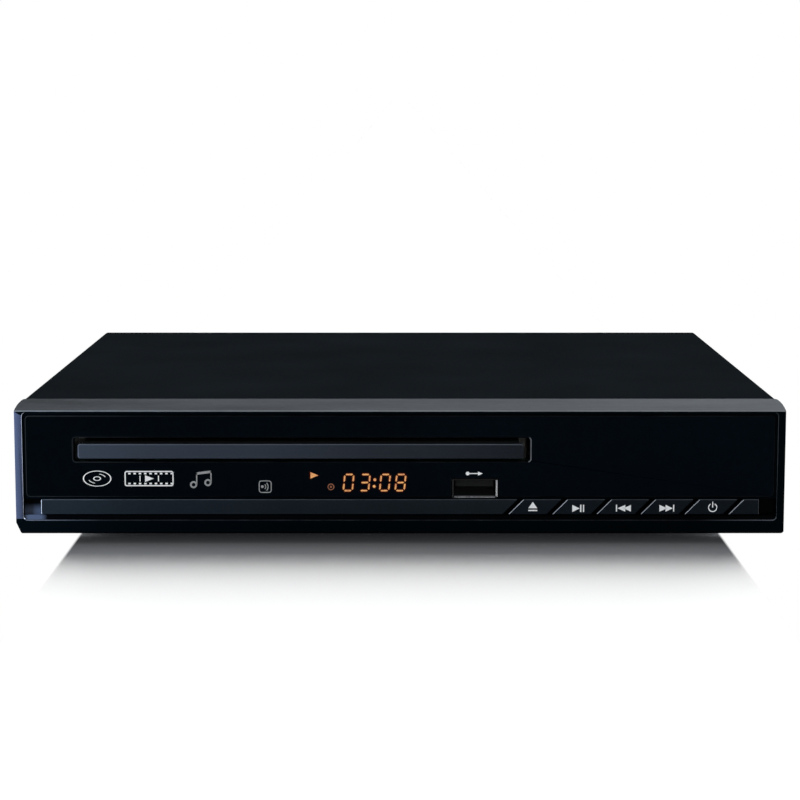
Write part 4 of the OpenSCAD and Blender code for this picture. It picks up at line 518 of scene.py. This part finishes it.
# Painted highlight, glowing a little, on the shell's right rim
paint(usb, "shell_rim_highlight", lambda c, n: c.y < usb_low.y + 1 and c.x > usb_high.x - 0.6
      and usb_low.z + 1 < c.z < usb_high.z - 0.4 and n.y < -0.2)
# Painted glints, glowing a little, on the shell's floor near its mouth
paint(usb, "shell_contact_glints", lambda c, n: c.y < usb_low.y + SHELL_DEPTH and c.z < usb_low.z + 0.7
      and abs(c.x - usb_low.x - SHELL_MIDDLE) < SHELL_REACH and n.z > -0.3)
# Faint painted highlight on the shell's front left edge
paint(usb, "shell_left_highlight", lambda c, n: c.y < usb_low.y + 0.1 and c.x < usb_low.x + 0.4)

# One colour for each jack: yellow by its slot, then white, red and orange
JACK_PITCH = 13
LAST_JACK_X = 39
for material, jack in (("insert_white", 1), ("insert_red", 2), ("insert_orange", 3)):
    paint(shown["jack_inserts"], material,
          lambda c, n, j=jack: round(min(c.x, LAST_JACK_X) / JACK_PITCH) == j)

# The transformer's winding, the capacitors' tops and the pickup's lens
WINDING_LOW, WINDING_HIGH = 11, 22
CORE_HALF, WINDING_HALF = 11, 7.3
core_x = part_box("transformer")[0].x / MM
lens_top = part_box("pickup_lens")[1].z / MM
paint(nodes["transformer"], "winding_tape", lambda c, n: abs(n.x) < 0.9
      and WINDING_LOW < c.z < WINDING_HIGH and abs(c.x - core_x - CORE_HALF) < WINDING_HALF)
paint(nodes["board_capacitors"], "can_top", lambda c, n: n.z > 0.6)
paint(nodes["pickup_lens"], "lens_glass", lambda c, n: c.z > lens_top - 0.6)


# Printed marks and lit segments: thin plates that lie on a face

def plates(name, outlines, y, material, body, thick=0.03):
    """Closed outlines of (x, z) in mm, each a plate whose back lies on the plane y (mm)."""
    work = bmesh.new()
    for outline in outlines:
        face = work.faces.new([work.verts.new((x * MM, y * MM, z * MM)) for x, z in outline])
        made = bmesh.ops.extrude_face_region(work, geom=[face])
        for item in made["geom"]:
            if isinstance(item, bmesh.types.BMVert):
                item.co.y -= thick * MM
    bmesh.ops.recalc_face_normals(work, faces=work.faces)
    mesh = bpy.data.meshes.new(name)
    work.to_mesh(mesh)
    work.free()
    mesh.materials.append(materials[material])
    obj = link(name, mesh)
    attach(obj, body)
    return obj


def bar(x0, z0, x1, z1):
    return [(x0, z0), (x1, z0), (x1, z1), (x0, z1)]


def arrow(x0, x1, z0, z1):
    """A triangle from its base at x0 to its tip at x1."""
    return [(x0, z0), (x1, (z0 + z1) / 2), (x0, z1)]


def moved(outline, x, z):
    return [(x + px, z + pz) for px, pz in outline]


def arc_band(r, width, start, end, flat=1.0, count=30):
    """Outline of a part of a ring between two angles in degrees; flat squeezes its height."""
    angles = [math.radians(start + (end - start) * i / count) for i in range(count + 1)]
    big, small = r + width / 2, r - width / 2
    outer = [(big * math.cos(a), big * math.sin(a) * flat) for a in angles]
    inner = [(small * math.cos(a), small * math.sin(a) * flat) for a in reversed(angles)]
    return outer + inner


def ring(r, width, flat=1.0):
    """A whole ring as two halves, so that each outline is simple."""
    return [arc_band(r, width, 0, 180, flat), arc_band(r, width, 180, 360, flat)]


def disc(r, count=24):
    angles = [2 * math.pi * i / count for i in range(count)]
    return [(r * math.cos(a), r * math.sin(a)) for a in angles]


def frame_line(x0, z0, x1, z1, r, line):
    """A thin closed line round a rectangle with round corners, as four bars and four bends."""
    centres = [(x1 - r, z1 - r), (x0 + r, z1 - r), (x0 + r, z0 + r), (x1 - r, z0 + r)]
    bends = [moved(arc_band(r, line, 90 * i, 90 * i + 90, count=6), x, z)
             for i, (x, z) in enumerate(centres)]
    h = line / 2
    return bends + [bar(x0 + r, z0 - h, x1 - r, z0 + h), bar(x0 + r, z1 - h, x1 - r, z1 + h),
                    bar(x0 - h, z0 + r, x0 + h, z1 - r), bar(x1 - h, z0 + r, x1 + h, z1 - r)]


# Signs on the buttons, in mm on the front
SYMBOLS = {
    "eject": [[(37.57, 10.5), (40.23, 10.5), (38.9, 12.4)], bar(37.57, 9.66, 40.23, 10.04)],
    "play_pause": [arrow(50.47, 52.62, 9.4, 11.5), bar(52.75, 9.38, 53.15, 11.55),
                   bar(53.6, 9.38, 53.95, 11.55)],
    "previous": [bar(63.26, 9.5, 63.6, 11.55), arrow(66.0, 63.7, 9.5, 11.5), arrow(67.65, 65.5, 9.5, 11.5)],
    "next": [arrow(76.0, 78.3, 9.5, 11.5), arrow(77.8, 79.9, 9.5, 11.5), bar(80.0, 9.5, 80.34, 11.55)],
    "power": [moved(arc_band(1.2, 0.27, 120, 420), 91.6, 10.73), bar(91.47, 10.7, 91.74, 12.42)],
}
for name, outlines in SYMBOLS.items():
    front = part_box(name + "_button")[0].y / MM
    plates(name + "_symbol", outlines, front, "print_white", name + "_button")

# Lit digits of the display: seven slanted segments each
DIGIT_LOW, DIGIT_HIGH = 15.5, 20.75
DIGIT_WIDTH = 2.6
SEGMENT, SEGMENT_GAP = 0.47, 0.26
SLANT = math.tan(math.radians(5.6))
DIGITS = (("0", -15.05), ("3", -10.3), ("0", -4.4), ("8", 0.15))
COLON_X, COLON_MIDDLE, COLON_DOTS = -7.45, 18, (17.0, 18.95)
HALO_GAP, HALO_EXTRA = -0.1, 0.62       # a halo's segments meet, and are wider by this
LIT = {"0": "abcdef", "3": "abcdg", "8": "abcdefg"}


def segment(x0, z0, x1, z1, width):
    """A lit bar with pointed ends from one point to the other."""
    along = Vector((x1 - x0, z1 - z0)).normalized()
    side = Vector((-along.y, along.x)) * width / 2
    tip = along * width / 2
    start, end = Vector((x0, z0)), Vector((x1, z1))
    corners = [start, start + tip + side, end - tip + side, end, end - tip - side, start + tip - side]
    return [(c.x, c.y) for c in corners]


def slanted(outline):
    middle = (DIGIT_LOW + DIGIT_HIGH) / 2
    return [(x + (z - middle) * SLANT, z) for x, z in outline]


def digit(figure, x, gap=SEGMENT_GAP, line=SEGMENT):
    """The lit segments of one figure centred on x."""
    low, high = DIGIT_LOW + SEGMENT / 2, DIGIT_HIGH - SEGMENT / 2
    middle = (low + high) / 2
    left, right = x - DIGIT_WIDTH / 2, x + DIGIT_WIDTH / 2
    ends = {"a": (left, high, right, high), "b": (right, high, right, middle),
            "c": (right, middle, right, low), "d": (left, low, right, low),
            "e": (left, middle, left, low), "f": (left, high, left, middle),
            "g": (left, middle, right, middle)}
    made = []
    for letter in LIT[figure]:
        x0, z0, x1, z1 = ends[letter]
        inset = Vector((x1 - x0, z1 - z0)).normalized() * gap
        made.append(slanted(segment(x0 + inset.x, z0 + inset.y, x1 - inset.x, z1 - inset.y, line)))
    return made


lit, halo = [], []
for figure, x in DIGITS:
    lit += digit(figure, x)
    halo += digit(figure, x, gap=HALO_GAP, line=SEGMENT + HALO_EXTRA)
for z in COLON_DOTS:
    dot_x = COLON_X + (z - COLON_MIDDLE) * SLANT
    lit.append(moved(disc(0.42), dot_x, z))
    halo.append(moved(disc(0.68), dot_x, z))
lit.append(arrow(-26.2, -23.9, 19.3, 21.2))
halo.append(arrow(-26.6, -23.4, 19.05, 21.45))
dim_ring = [moved(o, -20.2, 16.85) for o in ring(0.85, 0.26) + ring(0.2, 0.26)]
HALO_THICK, SIGN_THICK = 0.01, 0.02
lit_y = glass_y - HALO_THICK
plates("display_halo", halo, glass_y, "segment_halo", "casing", HALO_THICK)
plates("display_segments", lit, lit_y, "segment_lit", "casing")
plates("display_ring", dim_ring, lit_y, "segment_dim", "casing")


# Plain printed signs on the window

def window_sign(name, outlines, material):
    plates(name, outlines, glass_y, material, "casing", SIGN_THICK)


# a disc seen at a slant, with two glints
DISC_AT, DISC_FLAT = (-88.6, 19.3), 0.56
marks = [moved(o, *DISC_AT) for o in ring(4.0, 0.34, DISC_FLAT) + ring(1.0, 0.34, DISC_FLAT)]
marks += [moved(arc_band(2.5, 0.3, *span, flat=DISC_FLAT), *DISC_AT) for span in ((20, 75), (200, 255))]
# a film strip with an arrow
FILM_X0, FILM_X1, FILM_PITCH, FILM_HOLES = -79.5, -78.8, 1.55, 9
marks += frame_line(-80.4, 17.2, -66.4, 21.4, 0.5, 0.34)
for i in range(FILM_HOLES):
    x0, x1 = FILM_X0 + i * FILM_PITCH, FILM_X1 + i * FILM_PITCH
    marks += [bar(x0, z, x1, z + 0.5) for z in (17.55, 20.55)]
marks += [bar(x, 18.45, x + 0.3, 20.15) for x in (-76.2, -70.8)]
marks.append(arrow(-74.6, -72.0, 18.3, 20.3))
window_sign("window_signs", marks, "print_white")

# two joined notes
notes = ring(0.8, 0.5) + [moved(o, 4.2, 0.6) for o in ring(0.8, 0.5)]
notes += [bar(0.75, 0, 1.1, 3.6), bar(4.95, 0.6, 5.3, 4.2)]
notes.append([(0.75, 2.9), (5.3, 3.5), (5.3, 4.2), (0.75, 3.6)])
window_sign("window_note", [moved(o, -60.4, 17.5) for o in notes], "print_grey")

# the receiver's place: a dot with waves in a frame
EYE_AT = (-40.3, 16.9)
eye = frame_line(-41.2, 15.2, -37.7, 18.6, 0.7, 0.26)
eye.append(moved(disc(0.42), *EYE_AT))
eye += [moved(arc_band(r, 0.26, -42, 42, count=8), *EYE_AT) for r in (1.0, 1.7)]
window_sign("receiver_sign", eye, "print_grey")

# the data socket: an arrow that starts at a dot
plug = [moved(disc(0.55), 19.8, 20.8), bar(20.2, 20.66, 22.9, 20.94), arrow(22.8, 24.2, 20.2, 21.4)]
window_sign("socket_sign", plug, "print_white")


# Camera, light and floor

def aim(obj, place_at, target):
    obj.location = place_at
    obj.rotation_euler = (Vector(target) - Vector(place_at)).to_track_quat("-Z", "Y").to_euler()


# The photo's view: lens and sensor in mm, place in metres, pitch below the horizon in radians
LENS, SENSOR = 102.5, 36
CAMERA_AT = (0, -0.7615, 0.1309)
CAMERA_PITCH = 0.1337
camera_data = bpy.data.cameras.new("camera")
camera_data.lens = LENS
camera_data.sensor_width = SENSOR
camera_data.clip_end = 200
camera = link("camera", camera_data)
camera.location = CAMERA_AT
camera.rotation_euler = (math.radians(90) - CAMERA_PITCH, 0, 0)
scene.camera = camera


def seen_directly(tree):
    """1 for the eye, for reflections and through glass, and 0 for everything else."""
    path = add(tree, "LightPath")
    seen = maths(tree, "MAXIMUM", path.outputs["Is Camera Ray"], path.outputs["Is Glossy Ray"])
    return maths(tree, "MAXIMUM", seen, path.outputs["Is Transmission Ray"])


# The world: white where it is seen, and a weak light otherwise
WORLD_LIGHT = 0.05
world = bpy.data.worlds.new("world")
scene.world = world
world.use_nodes = True
tree = world.node_tree
tree.nodes.clear()
output = add(tree, "OutputWorld")
dim = add(tree, "Background")
dim.inputs["Color"].default_value = (0.95, 0.97, 1, 1)
dim.inputs["Strength"].default_value = WORLD_LIGHT
white = add(tree, "Background")
white.inputs["Color"].default_value = (1, 1, 1, 1)
white.inputs["Strength"].default_value = 1
mix = add(tree, "MixShader")
tree.links.new(seen_directly(tree), mix.inputs["Fac"])
tree.links.new(dim.outputs["Background"], mix.inputs[1])
tree.links.new(white.outputs["Background"], mix.inputs[2])
tree.links.new(mix.outputs["Shader"], output.inputs["Surface"])

# The floor is plain white beside the object, and in front of it beside the feet, as photographed
# There this plain white is painted over the object's shadow
FLOOR_HALF = 60
SIDE_START, SIDE_SOFT = 0.1130, 1e-3    # the distance from the middle where the white at the sides begins
FEET_HALF, FEET_SOFT = 0.0957, 4e-4     # and where it begins in front
FRONT_START, FRONT_SOFT = -0.086, 2e-3  # which is before this place
# In front the shadow is a little lighter than the lamps leave it: next to the object, away from it, and in
# one place between
GLOW_NEAR, GLOW_FAR = 0.002, 0.055
GLOW_DEPTH = 0.03
LIFT_AT, LIFT = -0.1205, 0.07
LIFT_BEHIND, LIFT_BEFORE = 0.018, 0.009
floor_mesh = bpy.data.meshes.new("floor")
corners = [(-FLOOR_HALF, -FLOOR_HALF, 0), (FLOOR_HALF, -FLOOR_HALF, 0),
           (FLOOR_HALF, FLOOR_HALF, 0), (-FLOOR_HALF, FLOOR_HALF, 0)]
floor_mesh.from_pydata(corners, [], [(0, 1, 2, 3)])
floor = link("floor", floor_mesh)
floor_material, tree, shader = new_material("floor_white")
shader.inputs["Base Color"].default_value = (0.98, 0.98, 0.98, 1)
shader.inputs["Roughness"].default_value = 0.9
shader.inputs["Specular IOR Level"].default_value = 0.0
where = add(tree, "SeparateXYZ")
tree.links.new(place(tree), where.inputs["Vector"])
along_y = where.outputs["Y"]
out_from_middle = maths(tree, "ABSOLUTE", where.outputs["X"], 0)
beside_feet = spread(tree, out_from_middle, 0, 1, FEET_HALF - FEET_SOFT, FEET_HALF + FEET_SOFT)
before = spread(tree, along_y, 1, 0, FRONT_START - FRONT_SOFT, FRONT_START)
at_the_side = spread(tree, out_from_middle, 0, 1, SIDE_START, SIDE_START + SIDE_SOFT)
beside = maths(tree, "MAXIMUM", maths(tree, "MULTIPLY", beside_feet, before), at_the_side)
glow = spread(tree, along_y, GLOW_FAR, GLOW_NEAR, FRONT_START - GLOW_DEPTH, FRONT_START)
rise = spread(tree, along_y, LIFT, 0, LIFT_AT, LIFT_AT + LIFT_BEHIND)
fall = spread(tree, along_y, 0, LIFT, LIFT_AT - LIFT_BEFORE, LIFT_AT)
glow = maths(tree, "ADD", glow, maths(tree, "MINIMUM", rise, fall))
shader.inputs["Emission Color"].default_value = (0.90, 0.94, 1, 1)
tree.links.new(glow, shader.inputs["Emission Strength"])
plain = add(tree, "Emission")
plain.inputs["Strength"].default_value = 1
mix = add(tree, "MixShader")
tree.links.new(maths(tree, "MULTIPLY", beside, seen_directly(tree)), mix.inputs["Fac"])
tree.links.new(shader.outputs["BSDF"], mix.inputs[1])
tree.links.new(plain.outputs["Emission"], mix.inputs[2])
tree.links.new(mix.outputs["Shader"], tree.nodes["Material Output"].inputs["Surface"])
floor_mesh.materials.append(floor_material)

# Which pieces the lamps reach: all but the floor, and the lit ones of the front
parts_only = bpy.data.collections.new("lit_pieces")
for obj in scene.objects:
    if obj.type == "MESH" and obj != floor:
        parts_only.objects.link(obj)
glow_pieces = bpy.data.collections.new("glow_pieces")
for name in ("front_bezel", "button_trim", "tray_door", *BUTTONS):
    glow_pieces.objects.link(shown[name])


def lamp(kind, name, place_at, target, strength, colour=(1, 1, 1), lit=parts_only, glossy=False,
         **values):
    data = bpy.data.lights.new(name, kind)
    data.energy = strength
    data.color = colour
    for key, value in values.items():
        setattr(data, key, value)
    obj = link(name, data)
    aim(obj, place_at, target)
    obj.visible_glossy = glossy
    obj.visible_camera = False
    if lit:
        obj.light_linking.receiver_collection = lit
    return obj


MIDDLE = (0, 0, 0)
COOL, BLUISH = (0.9, 0.95, 1), (0.66, 0.79, 1)
WIDE = math.radians(80)
lamp("SUN", "key_light", (0, 0.82, 0.57), MIDDLE, 6.0, lit=None, glossy=True, angle=math.radians(72))
lamp("SUN", "front_fill", (0, -1, 0.45), MIDDLE, 1.3, angle=WIDE)
lamp("SUN", "left_fill", (-1, -0.2, 0.3), MIDDLE, 1.2, COOL, angle=WIDE)
lamp("SUN", "right_fill", (1, -0.2, 0.3), MIDDLE, 1.2, angle=WIDE)
lamp("SUN", "low_fill", (0, 0, -1), MIDDLE, 0.4, angle=math.radians(120))
lamp("AREA", "left_glow", (-0.20, -0.17, 0.045), (-0.08, -0.10, 0.025), 0.42, BLUISH, lit=glow_pieces,
     size=0.05)
